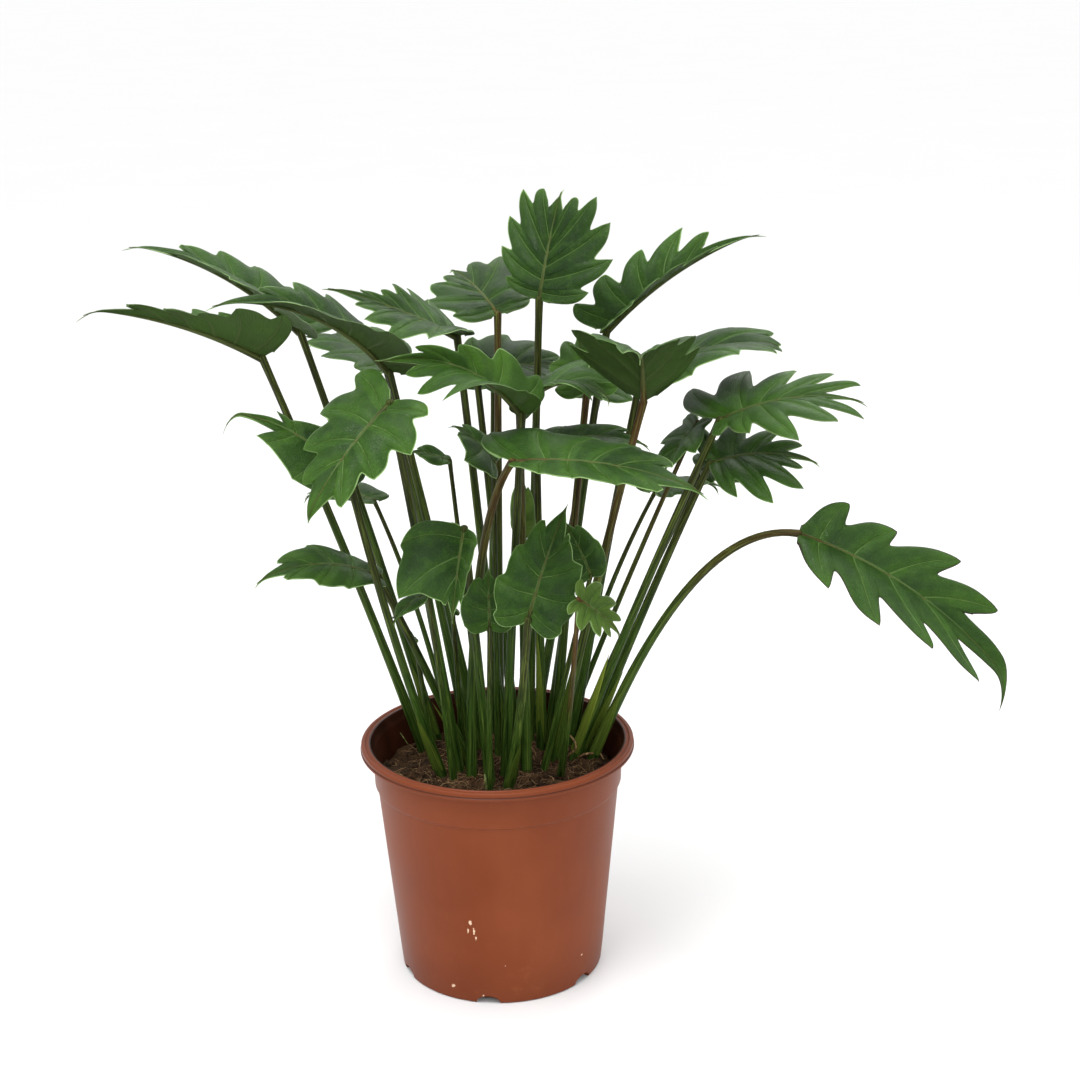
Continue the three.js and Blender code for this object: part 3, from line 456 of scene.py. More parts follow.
def lobe_sizes(leaf, s, hand):
    """How much longer or shorter than plain the lobes near s are, on that hand."""
    sizes = leaf["left"] if hand > 0 else leaf["right"]
    if not sizes:
        return 1.0
    tips = (np.arange(leaf["lobes"]) + LOBE_TIP) / leaf["lobes"] * TERMINAL_START
    return np.interp(s, [*tips, 1], [*sizes, 1])


def vein_length(leaf, s, place, terminal, hand):
    """From the midrib to the edge along the vein at s, and how far each is from its lobe's tip."""
    half = leaf["width"] / 2 * lobe_sizes(leaf, s, hand)
    broad = half * mix(leaf["back"], 1, smooth(0, BASE_BROADENS_BY, s))
    reach = mix(broad, leaf["length"] * TERMINAL_SHARE, smooth(leaf["narrow"], 1, s))
    before_tip = (LOBE_TIP - place) / LOBE_TIP
    after_tip = (place - LOBE_TIP) / (1 - LOBE_TIP)
    away = np.where(terminal, 1 - place, np.where(place < LOBE_TIP, before_tip, after_tip))
    wave = np.sin(np.pi / 2 * np.clip(away, 0, 1))
    bay = mix(wave ** BLUNTNESS, wave ** BAY_SHARPNESS, BAY_WIDTH_SHARE)
    bay = np.where(terminal, wave ** TIP_SHARPNESS, bay)
    first = (s < TERMINAL_START / leaf["lobes"]) & (place < LOBE_TIP)
    cut = np.where(first, BASE_NOTCH_CUT, leaf["cut"])
    tail = np.where(terminal, leaf["tail"] * (1 - np.exp(-(1 - s) / TAIL_WIDTH)), 0)
    return reach * (1 - cut * bay) * (1 - tail), away


def hook_shift(leaf, along, side, normal):
    """How far the hook at the midrib's end moves points."""
    down, left = leaf["hook"]
    end = np.clip((along - HOOK_START) / (1 - HOOK_START), 0, 1)[..., None] ** 2
    return (side * left - normal * down) * end


def half_blade(leaf, spine, hand):
    """One half's middle surface as a grid, from the midrib (share 0) out to the edge (share 1)."""
    per_lobe = LOBE_STATIONS if leaf["stalk"][0] > 3 else LOBE_STATIONS * 2 // 3
    stops, places, terminal = edge_stations(leaf["lobes"], per_lobe)
    shares = 1 - (1 - np.linspace(0, 1, ROWS + 1)) ** ROW_SPACING
    s, share = np.meshgrid(stops, shares, indexing="ij")
    place, last = [np.broadcast_to(v[:, None], s.shape) for v in (places, terminal)]
    full, away = vein_length(leaf, s, place, last, hand)
    length, half = leaf["length"], leaf["width"] / 2
    angle = np.radians((leaf["spread"] + hand * leaf["skew"]) * (1 - s) ** leaf["fan"])
    reach = full * share
    across = reach * np.sin(angle)
    tipness = np.where(last, 0, (1 - away) ** 2)
    forward = (LOBE_HOOK * tipness * share ** 3 - VEIN_BOW * share * (1 - share)) * full * np.sin(angle)
    along = (1 - TERMINAL_SHARE) * s ** ROOT_SPACING + (reach * np.cos(angle) + forward) / length
    at, _, side, normal = on_spine(spine, along, length)
    fold = np.radians(leaf["fold"])
    out = across / half
    height = across * np.sin(fold) - CUPPING * across * out
    height = height + leaf["wave"] * out ** 2 * np.sin(RIPPLES * s + RIPPLE_SHIFT[hand])
    points = at + side * (hand * across * np.cos(fold))[..., None] + normal * height[..., None]

    # Relief: the blade swells between its veins, and its edge and tip turn down.
    ds = np.gradient(points, axis=0)
    vein_way = unit(np.gradient(points, axis=1))
    phase_step = np.gradient(np.where(last, leaf["lobes"] + place / 2, np.floor(
        s * leaf["lobes"] / TERMINAL_START + 1e-6) + place), axis=0)
    gauge = np.linalg.norm(np.cross(ds, vein_way), axis=-1) / np.maximum(phase_step, 1e-4)
    lateral = np.where(last, 1 - place, np.abs(place - LOBE_TIP)) * gauge * np.where(last, 0.5, 1)
    lateral = np.where(last, np.maximum(lateral, across), lateral)
    between = np.minimum(lateral / QUILT_WIDTH, 1) * np.minimum(across / MIDRIB_FLAT, 1)
    swell = QUILTING * between * (1 - share ** 3) - VEIN_GROOVE * np.exp(-(lateral / GROOVE_WIDTH) ** 2)
    swell = swell - EDGE_CURL * share ** CURL_POWER
    rough = np.array([
        noise.noise(Vector(point) / UNDULATION_SIZE + Vector((leaf["seed"], 0, 0)))
        for point in points.reshape(-1, 3)
    ]).reshape(s.shape)
    swell = swell + UNDULATION * rough * np.minimum(across / UNDULATION_FADE, 1)
    points = points + normal * swell[..., None] + hook_shift(leaf, along, side, normal)

    edge_way = unit(ds[:, -1:])
    slant = np.linalg.norm(np.cross(edge_way, vein_way[:, -1:]), axis=-1)
    edge = np.minimum((1 - share) * full * slant, s * leaf["lobes"] / TERMINAL_START * gauge)
    values = dict(lateral=lateral, mid=across, edge=edge, along=along, place=place)
    return points, values


FIELDS = (
    "lateral", "mid", "edge", "along", "place", "under", "climb", "tone", "red", "pale", "brown",
    "round_x", "round_y", "seed",
)


def add_blade(shape, leaf, spine):
    """Both halves as one sheet, thickened to an upper and a lower skin with a wall round the rim."""
    halves = {hand: half_blade(leaf, spine, hand) for hand in (1, -1)}
    left, values = halves[1]
    rows, columns = left.shape[:2]
    first = np.arange(rows * columns).reshape(rows, columns)
    second = first.copy()
    second[:-1, 1:] = rows * columns + np.arange((rows - 1) * (columns - 1)).reshape(rows - 1, columns - 1)
    points = np.concatenate([left.reshape(-1, 3), halves[-1][0][:-1, 1:].reshape(-1, 3)])
    merged = {}
    for name in values:
        other = halves[-1][1][name][:-1, 1:].ravel()
        merged[name] = np.concatenate([values[name].ravel(), other])
    faces = grid_faces(first, flip=False) + grid_faces(second, flip=True)

    normals = np.zeros_like(points)
    for face in faces:
        a, b, c = points[face[0]], points[face[1]], points[face[2]]
        way = np.cross(b - a, c - a)
        for corner in face:
            normals[corner] += way
    normals = unit(normals)
    if np.mean(normals @ spine["normal"][SPINE_STEPS // 2]) < 0:
        normals = -normals
        faces = [face[::-1] for face in faces]

    edge = merged["edge"]
    thick = mix(THICK_EDGE, THICK_MIDDLE, np.clip(edge / THICKENS_BY, 0, 1)) / 2
    ribs = RIB_HEIGHT * np.exp(-(merged["lateral"] / RIB_WIDTH) ** 2) * np.clip(edge / RIB_FADE, 0, 1)
    looks = dict(tone=leaf["tone"], red=leaf["red"], brown=leaf["brown"], **merged)
    top = shape.add_points(points + normals * thick[:, None], under=0.0, **looks)
    low = shape.add_points(points - normals * (thick + ribs)[:, None], under=1.0, **looks)
    shape.add_faces([tuple(top + corner for corner in face) for face in faces])
    shape.add_faces([tuple(low + corner for corner in face[::-1]) for face in faces])
    rim = list(first[0, :]) + list(first[1:, -1]) + list(second[:-1, -1][::-1]) + list(second[0, 1:-1][::-1])
    around = [(int(a), int(b)) for a, b in zip(rim, rim[1:] + rim[:1])]
    walls = [(top + a, top + b, low + b, low + a) for a, b in around]
    used = {(face[i], face[(i + 1) % len(face)]) for face in faces for i in range(len(face))}
    if around[columns] in used:
        walls = [wall[::-1] for wall in walls]
    shape.add_faces(walls)


# ---- Leaf: the stalk and the rib under the blade ----


def soil_height(x, y):
    """The model's soil at x, y: waves of lumps, higher under the clump."""
    broad = np.sin(x / LUMP_SPACING["x"] + LUMP_SHIFT["x"]) * np.cos(y / LUMP_SPACING["y"] + LUMP_SHIFT["y"])
    lumps = broad + DIAGONAL_LUMP * np.sin((x + y) / LUMP_SPACING["diagonal"])
    away = np.hypot(x - CLUMP[0], y - CLUMP[1]) / CLUMP_RADIUS
    return SOIL_LEVEL + SOIL_LUMP * lumps + SOIL_CROWN * np.exp(-2 * away * away)


def stalk_path(leaf):
    """The stalk's lowest point, sunk in the soil, and its curve from the surface to the joint."""
    x, y = leaf["foot"]
    ground = soil_height(x, y)
    foot = np.array([x, y, ground])
    joint = np.array(leaf["joint"], float)
    lean, climb = leaf["knee"]
    knee = np.array([mix(x, joint[0], lean), mix(y, joint[1], lean), mix(ground, joint[2], climb)])
    start = unit(knee - foot)
    clear = foot + STALK_RISE * start
    share = np.linspace(0, 1, STALK_STEPS + 1)[:, None]
    curve = (1 - share) ** 2 * clear + 2 * share * (1 - share) * knee + share ** 2 * joint
    return foot - STALK_SINK * start, curve


def stalk_radius(leaf, share):
    """The stalk's radius at shares of its curve from the soil to the joint."""
    base, middle, top = leaf["stalk"]
    low = mix(base, middle, share / STALK_NARROWS_BY)
    high = mix(middle, top, (share - STALK_NARROWS_BY) / (1 - STALK_NARROWS_BY))
    return np.where(share < STALK_NARROWS_BY, low, high)


def channel(angles):
    """A stalk's section: round, with a shallow channel along one side."""
    return 1 - CHANNEL * np.maximum(np.cos(angles - np.pi / 2), 0) ** 3


def add_stalk(shape, leaf, spine):
    """The stalk from in the soil to its rounded end at the joint, and the rib under the midrib."""
    sunk, curve = stalk_path(leaf)
    share = np.linspace(0, 1, STALK_STEPS + 1)
    radius = stalk_radius(leaf, share)
    swelling = 1 + SWELLING * smooth(SWELLS_FROM, 1, share)
    end_way = unit(curve[-1] - curve[-2])
    turn = np.linspace(0, np.pi / 2, CAP_STEPS + 1)[1:]
    top = radius[-1] * swelling[-1]
    cap = curve[-1] + np.outer(np.sin(turn) * top * CAP_BULGE, end_way)
    path = np.concatenate([[sunk], curve, cap])
    radii = np.concatenate([[radius[0]], radius * swelling, top * np.maximum(np.cos(turn), CAP_LEAST)])
    climb = np.concatenate([[0], share, np.ones(CAP_STEPS)])
    looks = dict(tone=leaf["tone"], red=leaf["red"], seed=leaf["seed"])
    tube(shape, path, radii, STALK_SIDES, slot=1, squash=channel, climb=climb, **looks)

    along = np.linspace(0.0, RIB_END, RIB_STEPS + 1)
    place, _, side, normal = on_spine(spine, along, leaf["length"])
    rib = leaf["stalk"][2] * (RIB_START * (1 - along) ** RIB_TAPER + RIB_LEAST)
    path = place - normal * (rib * RIB_SINK)[:, None] + hook_shift(leaf, along, side, normal)
    tube(shape, path, rib, RIB_SIDES, slot=1, climb=1 + along, **looks)


SHEATH_STEPS = 18
SHEATH_SIDES = 16
SHEATH_THIN = 0.34
SHEATH_INSET = 0.62
SHEATH_TAPER = 2.4
SHEATH_LEAST = 0.03


def add_sheath(shape, leaf, length, heading, half_width, stand_off, pale):
    """A pointed, flattened sheath on the stalk's foot, on the side that heading gives in degrees
    from +X. It leans off by stand_off at its tip; pale is how yellow it is there.
    """
    _, curve = stalk_path(leaf)
    travelled = np.concatenate([[0], np.cumsum(np.linalg.norm(np.diff(curve, axis=0), axis=1))])
    share = np.linspace(0, 1, SHEATH_STEPS + 1)
    middle = np.stack([np.interp(share * length, travelled, curve[:, axis]) for axis in range(3)], axis=1)
    turn = math.radians(heading)
    outwards = np.array([math.cos(turn), math.sin(turn), 0.0])
    path = middle + outwards * (leaf["stalk"][0] * SHEATH_INSET + stand_off * share ** 2)[:, None]
    radii = half_width * np.maximum(1 - share ** SHEATH_TAPER, SHEATH_LEAST)

    def flattened(angles):
        return 1 / np.hypot(np.cos(angles - turn) / SHEATH_THIN, np.sin(angles - turn))

    tube(shape, path, radii, SHEATH_SIDES, slot=1, squash=flattened, climb=0.1 * share,
         tone=leaf["tone"], pale=pale * (0.4 + 0.6 * share), seed=leaf["seed"] + 0.5)


def build_leaf(leaf, materials):
    shape = Shape(*FIELDS)
    spine = spine_of(leaf)
    add_blade(shape, leaf, spine)
    add_stalk(shape, leaf, spine)
    if leaf["sheath"]:
        add_sheath(shape, leaf, *leaf["sheath"])
    piece = shape.build(leaf["name"] + "_leaf", materials, sharp=50)
    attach(piece, BODY)
    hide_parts(leaf["name"])


# ---- Materials ----


class Value:
    """A node's output. Arithmetic with it adds a math node and gives that node's output."""

    def __init__(self, paint, socket):
        self.paint = paint
        self.socket = socket

    def __add__(self, other):
        return self.paint.math("ADD", self, other)

    def __sub__(self, other):
        return self.paint.math("SUBTRACT", self, other)

    def __rsub__(self, other):
        return self.paint.math("SUBTRACT", other, self)

    def __mul__(self, other):
        return self.paint.math("MULTIPLY", self, other)

    def __truediv__(self, other):
        return self.paint.math("DIVIDE", self, other)

    def most(self, other):
        return self.paint.math("MAXIMUM", self, other)


class Paint:
    """A node tree: short calls that add a node, give it its inputs and return its output."""

    def __init__(self, owner, shader="Principled BSDF"):
        self.owner = owner
        owner.use_nodes = True
        self.tree = owner.node_tree
        self.shader = self.tree.nodes[shader]

    def node(self, kind, inputs, output=0, **settings):
        node = self.tree.nodes.new("ShaderNode" + kind)
        for key, value in settings.items():
            setattr(node, key, value)
        for socket, value in inputs.items():
            self.give(node.inputs[socket], value)
        return Value(self, node.outputs[output])

    def give(self, socket, value):
        if isinstance(value, Value):
            self.tree.links.new(value.socket, socket)
        else:
            socket.default_value = value

    def field(self, name):
        return self.node("Attribute", {}, "Fac", attribute_name=name)

    def place(self):
        return self.node("TexCoord", {}, "Object")

    def axes(self, place):
        parts = self.node("SeparateXYZ", {"Vector": place}).socket.node.outputs
        return [Value(self, part) for part in parts]

    def math(self, operation, a, b=0.0):
        return self.node("Math", {0: a, 1: b}, operation=operation)

    def ramp(self, value, low, high, from_value=0.0, to_value=1.0, kind="SMOOTHSTEP"):
        """value between low and high, spread over from_value to to_value."""
        inputs = {"Value": value, "From Min": low, "From Max": high, "To Min": from_value, "To Max": to_value}
        return self.node("MapRange", inputs, interpolation_type=kind)

    def noise(self, scale, detail=3.0, roughness=0.5, stretch=(1, 1, 1), distortion=0.0):
        place = self.node("Mapping", {"Vector": self.place(), "Scale": stretch})
        inputs = {
            "Vector": place, "Scale": scale, "Detail": detail, "Roughness": roughness,
            "Distortion": distortion,
        }
        return self.node("TexNoise", inputs, "Fac")

    def blend(self, share, a, b):
        return self.node("Mix", {0: share, 6: a, 7: b}, 2, data_type="RGBA")

    def layers(self, base, *layers):
        """base with each layer's colour, (share, colour), laid over it in turn."""
        for share, tint in layers:
            base = self.blend(share, base, tint)
        return base

    def set(self, **values):
        for name, value in values.items():
            self.give(self.shader.inputs[name.replace("_", " ")], value)
        return self.owner

    def finish(self, skin, gloss, relief, depth, strength, specular):
        """The whole material, its relief as bumps of depth metres."""
        bump = self.node("Bump", {"Height": relief, "Distance": depth, "Strength": strength}, "Normal")
        return self.set(Base_Color=skin, Roughness=gloss, Normal=bump, Specular_IOR_Level=specular)


def new_paint(name):
    return Paint(bpy.data.materials.new(name))


def colour(red, green, blue):
    """An sRGB colour, each part from 0 to 255, as the linear colour that shaders take."""
    parts = [part / 255 for part in (red, green, blue)]
    return tuple(p / 12.92 if p <= 0.04045 else ((p + 0.055) / 1.055) ** 2.4 for p in parts) + (1.0,)


LEAF_DARK = colour(19, 45, 9)
LEAF_MIDDLE = colour(36, 69, 13)
LEAF_LIGHT = colour(66, 104, 24)
LEAF_UNDER = colour(52, 73, 29)
VEIN_PALE = colour(102, 132, 72)
MARGIN_PALE = colour(138, 170, 106)
MARGIN_BROWN = colour(44, 28, 22)
YOUNG_DARK = colour(36, 62, 14)
YOUNG_MIDDLE = colour(58, 86, 22)
YOUNG_LIGHT = colour(96, 124, 44)
STALK_GREEN = colour(50, 76, 24)
STALK_OLIVE = colour(40, 46, 15)
STALK_BROWN = colour(78, 48, 26)
STALK_STREAK_PALE = colour(108, 126, 54)
STALK_STREAK_DARK = colour(12, 24, 8)
# How far the streaks' pattern moves along a stalk's length: the smaller, the longer the streaks.
STREAK_STRETCH = 2.2
SHEATH_YELLOW = colour(136, 154, 56)
RIB_PALE = colour(72, 82, 42)


def leaf_paint(name, dark, middle, light):
    paint = new_paint(name)
    edge, lateral, along, brown = [paint.field(field) for field in ("edge", "lateral", "along", "brown")]
    fine = paint.noise(150.0, detail=4.0, roughness=0.6)
    depth = paint.field("tone") + (paint.noise(26.0, detail=2.0) - 0.5) * 1.25

    # The lateral veins, which narrow towards the edge, and the streaks and net between them.
    veins = 1.0 - paint.ramp(lateral / paint.ramp(edge, 0.0, 26.0, 0.34, 0.8), 0.35, 1.0)
    side_way = paint.node("CombineXYZ", {"X": paint.field("place") * 9.0})
    waves = {"Vector": side_way, "Scale": 1.0, "Distortion": 1.6, "Detail": 2.0, "Detail Scale": 0.7}
    streak = paint.ramp(paint.node("TexWave", waves, "Fac"), 0.72, 1.0)
    cells = {"Vector": paint.place(), "Scale": 420.0, "Randomness": 0.9}
    net = 1.0 - paint.ramp(
        paint.node("TexVoronoi", cells, "Distance", feature="DISTANCE_TO_EDGE"), 0.0, 0.12)

    # The midrib, tinted like the stalk where it is red, and the margin, pale or brown.
    midrib_width = paint.ramp(along, 0.0, 1.0, 1.9, 0.5)
    midrib = paint.ramp(paint.field("mid") / midrib_width, 0.3, 1.0, 1.0, 0.0)
    reddened = paint.field("red") * paint.ramp(along, 0.0, 0.35, 0.8, 0.0)
    margin = paint.ramp(edge, 0.25, 0.85, 1.0, 0.0)
    patchy = paint.ramp(paint.noise(38.0, detail=1.0), 0.4, 0.62, 0.15, 0.9)

    over = paint.layers(
        dark,
        (paint.ramp(depth, 0.05, 0.6), middle),
        (paint.ramp(depth, 0.5, 1.25), light),
        (paint.ramp(fine, 0.45, 0.8, 0.0, 0.38), light),
        (paint.ramp(fine, 0.25, 0.5, 0.3, 0.0), dark),
        ((1.0 - paint.ramp(edge, 0.0, 9.0)) * 0.25, light),
        (streak * 0.22, VEIN_PALE),
        (net * 0.12, VEIN_PALE),
        ((1.0 - paint.ramp(lateral, 0.5, 7.0)) * 0.12, light),
        (paint.ramp(lateral, 3.5, 9.0) * 0.34, dark),
        (veins * 0.58, VEIN_PALE),
        (midrib * 0.6, paint.blend(reddened, VEIN_PALE, STALK_BROWN)),
        (margin * patchy.most(brown), paint.blend(brown, MARGIN_PALE, MARGIN_BROWN)),
    )
    under = paint.layers(
        LEAF_UNDER,
        (paint.ramp(depth, 0.0, 1.0, 0.0, 0.5), light),
        (veins.most(midrib) * 0.5, RIB_PALE),
    )
    below = paint.ramp(paint.field("under"), 0.4, 0.6)
    gloss = paint.ramp(paint.noise(60.0, detail=5.0, roughness=0.7), 0.3, 0.75, 0.3, 0.46) + below * 0.2
    relief = fine * 0.5 - net * 0.35 - streak * 0.7 - veins * 0.8
    return paint.finish(paint.blend(below, over, under), gloss, relief, 0.0006, 0.9, specular=0.16)


def stalk_paint():
    paint = new_paint("stalk_skin")
    climb = paint.field("climb")
    length = climb * STREAK_STRETCH + paint.field("seed")
    around = paint.node("CombineXYZ", {"X": paint.field("round_x"), "Y": paint.field("round_y"), "Z": length})
    streak = paint.node("TexNoise", {"Vector": around, "Scale": 2.2, "Detail": 3.0}, "Fac")
    fine = paint.node("TexNoise", {"Vector": around, "Scale": 6.5, "Detail": 2.0}, "Fac")
    shift = climb + (paint.noise(22.0, detail=2.0) - 0.5) * 0.5
    skin = paint.layers(
        STALK_GREEN,
        (paint.ramp(shift, 0.3, 0.85), STALK_OLIVE),
        (paint.field("red") * paint.ramp(shift, 0.15, 0.9), STALK_BROWN),
        (paint.ramp(streak, 0.5, 0.72, 0.0, 0.5), STALK_STREAK_PALE),
        (paint.ramp(streak, 0.28, 0.5, 0.85, 0.0), STALK_STREAK_DARK),
        (paint.ramp(fine, 0.54, 0.7, 0.0, 0.4), STALK_STREAK_PALE),
        (paint.field("pale"), SHEATH_YELLOW),
        (paint.ramp(fine, 0.3, 0.48, 0.6, 0.0), STALK_STREAK_DARK),
        (paint.ramp(climb, 1.0, 1.3) * 0.85, RIB_PALE),
    )
    gloss = paint.ramp(streak, 0.3, 0.7, 0.34, 0.5)
    return paint.finish(skin, gloss, streak + fine * 0.6, 0.0006, 0.9, specular=0.1)


# ---- Pot ----


def wall_radius(height):
    """The wall's outer radius below the collar."""
    top = POT_HEIGHT - LIP_DEPTH - COLLAR_DEPTH
    return mix(BASE_RADIUS, COLLAR_RADIUS - COLLAR_STEP, height / top)


def inner_wall(height):
    """The wall's inner radius below the collar."""
    low = FLOOR + BASE_ROUND
    high = POT_HEIGHT - LIP_DEPTH - COLLAR_DEPTH - COLLAR_STEP
    return mix(BASE_RADIUS, COLLAR_RADIUS - COLLAR_STEP, (height - low) / (high - low)) - WALL


def arc(centre, radius, start, end, steps=6):
    """Points round centre, in degrees anticlockwise from outwards."""
    angles = [math.radians(mix(start, end, i / steps)) for i in range(steps + 1)]
    return [(centre[0] + radius * math.cos(a), centre[1] + radius * math.sin(a)) for a in angles]


LIP_EDGE = 1.6
LIP_SEAM_HEIGHT = 2.6
LIP_SEAM_DEPTH = 0.7
LIP_NARROWS_BY = 0.5
LIP_ROUND = 1.1
MOUTH_ROUND = 1.2
COLLAR_EDGE = 0.8
COLLAR_STEPS = 6
POT_SHARP = 38
# The groove in the lip's top: how far each point lies out from its middle, and how far down.
GROOVE = ((1.2, 0), (0.5, 0.7), (0, 0.9), (-0.5, 0.7), (-1.2, 0))


def pot_profile():
    """The pot's section as (radius, height): out along the base, up its outside and down inside."""
    underside = POT_HEIGHT - LIP_DEPTH
    foot = underside - COLLAR_DEPTH
    seam = underside + LIP_SEAM_HEIGHT
    lip = RIM_RADIUS - LIP_NARROWS_BY
    points = [(0, 0), (30, 0), (60, 0), (BASE_RADIUS - BASE_ROUND - 6, 0)]
    points += arc((BASE_RADIUS - BASE_ROUND, BASE_ROUND), BASE_ROUND, -90, 0)
    points += [(wall_radius(height), height) for height in range(12, int(foot), 6)]
    for share in np.linspace(0, 1, COLLAR_STEPS + 1):
        radius = mix(wall_radius(foot), COLLAR_RADIUS - COLLAR_DRAFT, smooth(0, 1, share))
        points.append((radius, foot + COLLAR_STEP * share))
    points += [(COLLAR_RADIUS, underside - COLLAR_EDGE), (COLLAR_RADIUS + COLLAR_EDGE, underside)]
    points += arc((RIM_RADIUS - LIP_ROUND, underside + LIP_ROUND), LIP_ROUND, -90, 0)
    points += [(RIM_RADIUS, seam - LIP_SEAM_DEPTH), (RIM_RADIUS - LIP_SEAM_DEPTH, seam),
               (lip, seam + LIP_SEAM_DEPTH)]
    points += arc((lip - LIP_EDGE, POT_HEIGHT - LIP_EDGE), LIP_EDGE, 0, 90)
    points += [(GROOVE_RADIUS + out, POT_HEIGHT - down) for out, down in GROOVE]
    points += arc((RIM_INNER_RADIUS + MOUTH_ROUND, POT_HEIGHT - MOUTH_ROUND), MOUTH_ROUND, 90, 180)
    points += [(COLLAR_RADIUS - WALL + 0.4, underside - WALL + 0.8), (COLLAR_RADIUS - WALL, underside - WALL),
               (inner_wall(foot - COLLAR_STEP) + 0.9, foot + 0.4)]
    points += [(inner_wall(height), height)
               for height in range(int(foot - COLLAR_STEP), FLOOR + BASE_ROUND, -8)]
    points += [(inner_wall(FLOOR + BASE_ROUND), FLOOR + BASE_ROUND), (BASE_RADIUS - WALL - BASE_ROUND, FLOOR)]
    return points + [(40, FLOOR), (0, FLOOR)]


def lathe(shape, profile, sides):
    """A closed body from a profile whose first and last points lie on the axis."""
    rings = [ring_at(radius, height, sides) for radius, height in profile[1:-1]]
    fanned_rings(shape, rings, (0, 0, profile[0][1]), (0, 0, profile[-1][1]), flip=True)


def notch_cutters():
    """One closed arch for each drainage notch, all in one mesh."""
    shape = Shape()
    turns = circle(NOTCH_SIDES)
    for i in range(NOTCH_COUNT):
        angle = math.radians(NOTCH_FIRST_ANGLE + 360 / NOTCH_COUNT * i)
        outwards = np.array([math.cos(angle), math.sin(angle), 0.0])
        sideways = np.array([-math.sin(angle), math.cos(angle), 0.0])
        ring = (np.outer(NOTCH_HALF_WIDTH * np.cos(turns), sideways)
                + np.outer(NOTCH_HEIGHT * np.sin(turns), [0, 0, 1]))
        near = shape.add_points(ring + outwards * (BASE_RADIUS - NOTCH_DEPTH))
        far = shape.add_points(ring + outwards * (BASE_RADIUS + NOTCH_DEPTH))
        for k in range(NOTCH_SIDES):
            n = (k + 1) % NOTCH_SIDES
            shape.add_faces([(near + k, near + n, far + n, far + k)])
        shape.add_faces([tuple(range(near + NOTCH_SIDES - 1, near - 1, -1)),
                         tuple(range(far, far + NOTCH_SIDES))])
    return shape.build("notches", [])


LIP_BROWN = colour(98, 44, 20)
# Painted shade for the groove of the lip's seam.
LIP_GROOVE_PAINTED_SHADE = colour(48, 20, 10)


def pot_paint():
    paint = new_paint("pot_plastic")
    side, depth, height = paint.axes(paint.place())
    flow = paint.noise(34.0, stretch=(1, 1, 0.16))
    cloud = paint.noise(11.0)
    grain = paint.noise(900.0, detail=2.0)
    underside = POT_HEIGHT - LIP_DEPTH
    seam = paint.math("ABSOLUTE", height - (underside + LIP_SEAM_HEIGHT) * MM)
    low_dust = paint.ramp(height, 0.02, 0.09, 0.4, 0.08)
    dust = paint.ramp(paint.noise(70.0, detail=6.0, roughness=0.7), 0.55, 0.8) * low_dust
    # A mottle for the inside wall, which is painted dark: painted shade, partly dirt.
    inside_shade_and_stain = paint.ramp(paint.noise(40.0, detail=5.0), 0.35, 0.7)
    inside = paint.ramp(paint.field("inner"), 0.4, 0.6)
    chips = scuff_marks(paint, side, depth, height)
    skin = paint.layers(
        colour(112, 51, 22),
        (paint.ramp(cloud, 0.3, 0.7), colour(123, 59, 29)),
        (paint.ramp(flow, 0.45, 0.75, 0.0, 0.25), colour(130, 68, 36)),
        (paint.ramp(height, (underside - 1) * MM, (underside + 1) * MM, 0.0, 0.5), LIP_BROWN),
        # Painted shade along the groove of the lip's seam, darkest at its middle.
        (paint.ramp(seam, 0.0, 1.1 * MM, 0.75, 0.0), LIP_GROOVE_PAINTED_SHADE),
        (paint.ramp(height, 0.0, 0.05, 0.25, 0.0), colour(80, 34, 14)),
        (dust, colour(146, 88, 54)),
        # From the mouth inwards the wall is painted much darker: painted shade, partly dirt, mottled between
        # two dark browns.
        (inside * 0.9, paint.blend(inside_shade_and_stain, colour(32, 14, 9), colour(52, 24, 14))),
        (chips, colour(222, 190, 160)),
    )
    gloss = paint.ramp(cloud, 0.3, 0.7, 0.36, 0.46) + dust * 0.3 + chips * 0.25
    relief = grain * 0.12 + flow * 0.5 + chips * 0.6
    return paint.finish(skin, gloss, relief, 0.0005, 0.5, specular=0.16)


# Chips and scuffs on the wall: (x, height, half width, half length), in millimetres, on its front.
SCUFFS = (
    (-21.5, 71, 1.6, 2.8), (-19, 64, 0.9, 4.2), (-23.4, 64, 0.6, 2.2), (-17.6, 58, 0.7, 2.4),
    (-36, 12, 1.4, 1.8), (-13, 7, 1.0, 1.2), (4, 34, 0.7, 0.7), (62, 26, 0.8, 0.8),
)


def scuff_marks(paint, side, depth, height):
    """1 on the pale chips of the wall's front."""
    ragged = (paint.noise(520.0, detail=4.0) - 0.5) * 2.6
    total = None
    for x, z, half_width, half_length in SCUFFS:
        across = (side - x * MM) / (half_width * MM)
        up = (height - z * MM) / (half_length * MM)
        far = paint.math("SQRT", across * across + up * up)
        mark = paint.ramp(far + ragged, 0.55, 0.85, 1.0, 0.0)
        total = mark if total is None else total.most(mark)
    return total * paint.math("LESS_THAN", depth, 0.0)


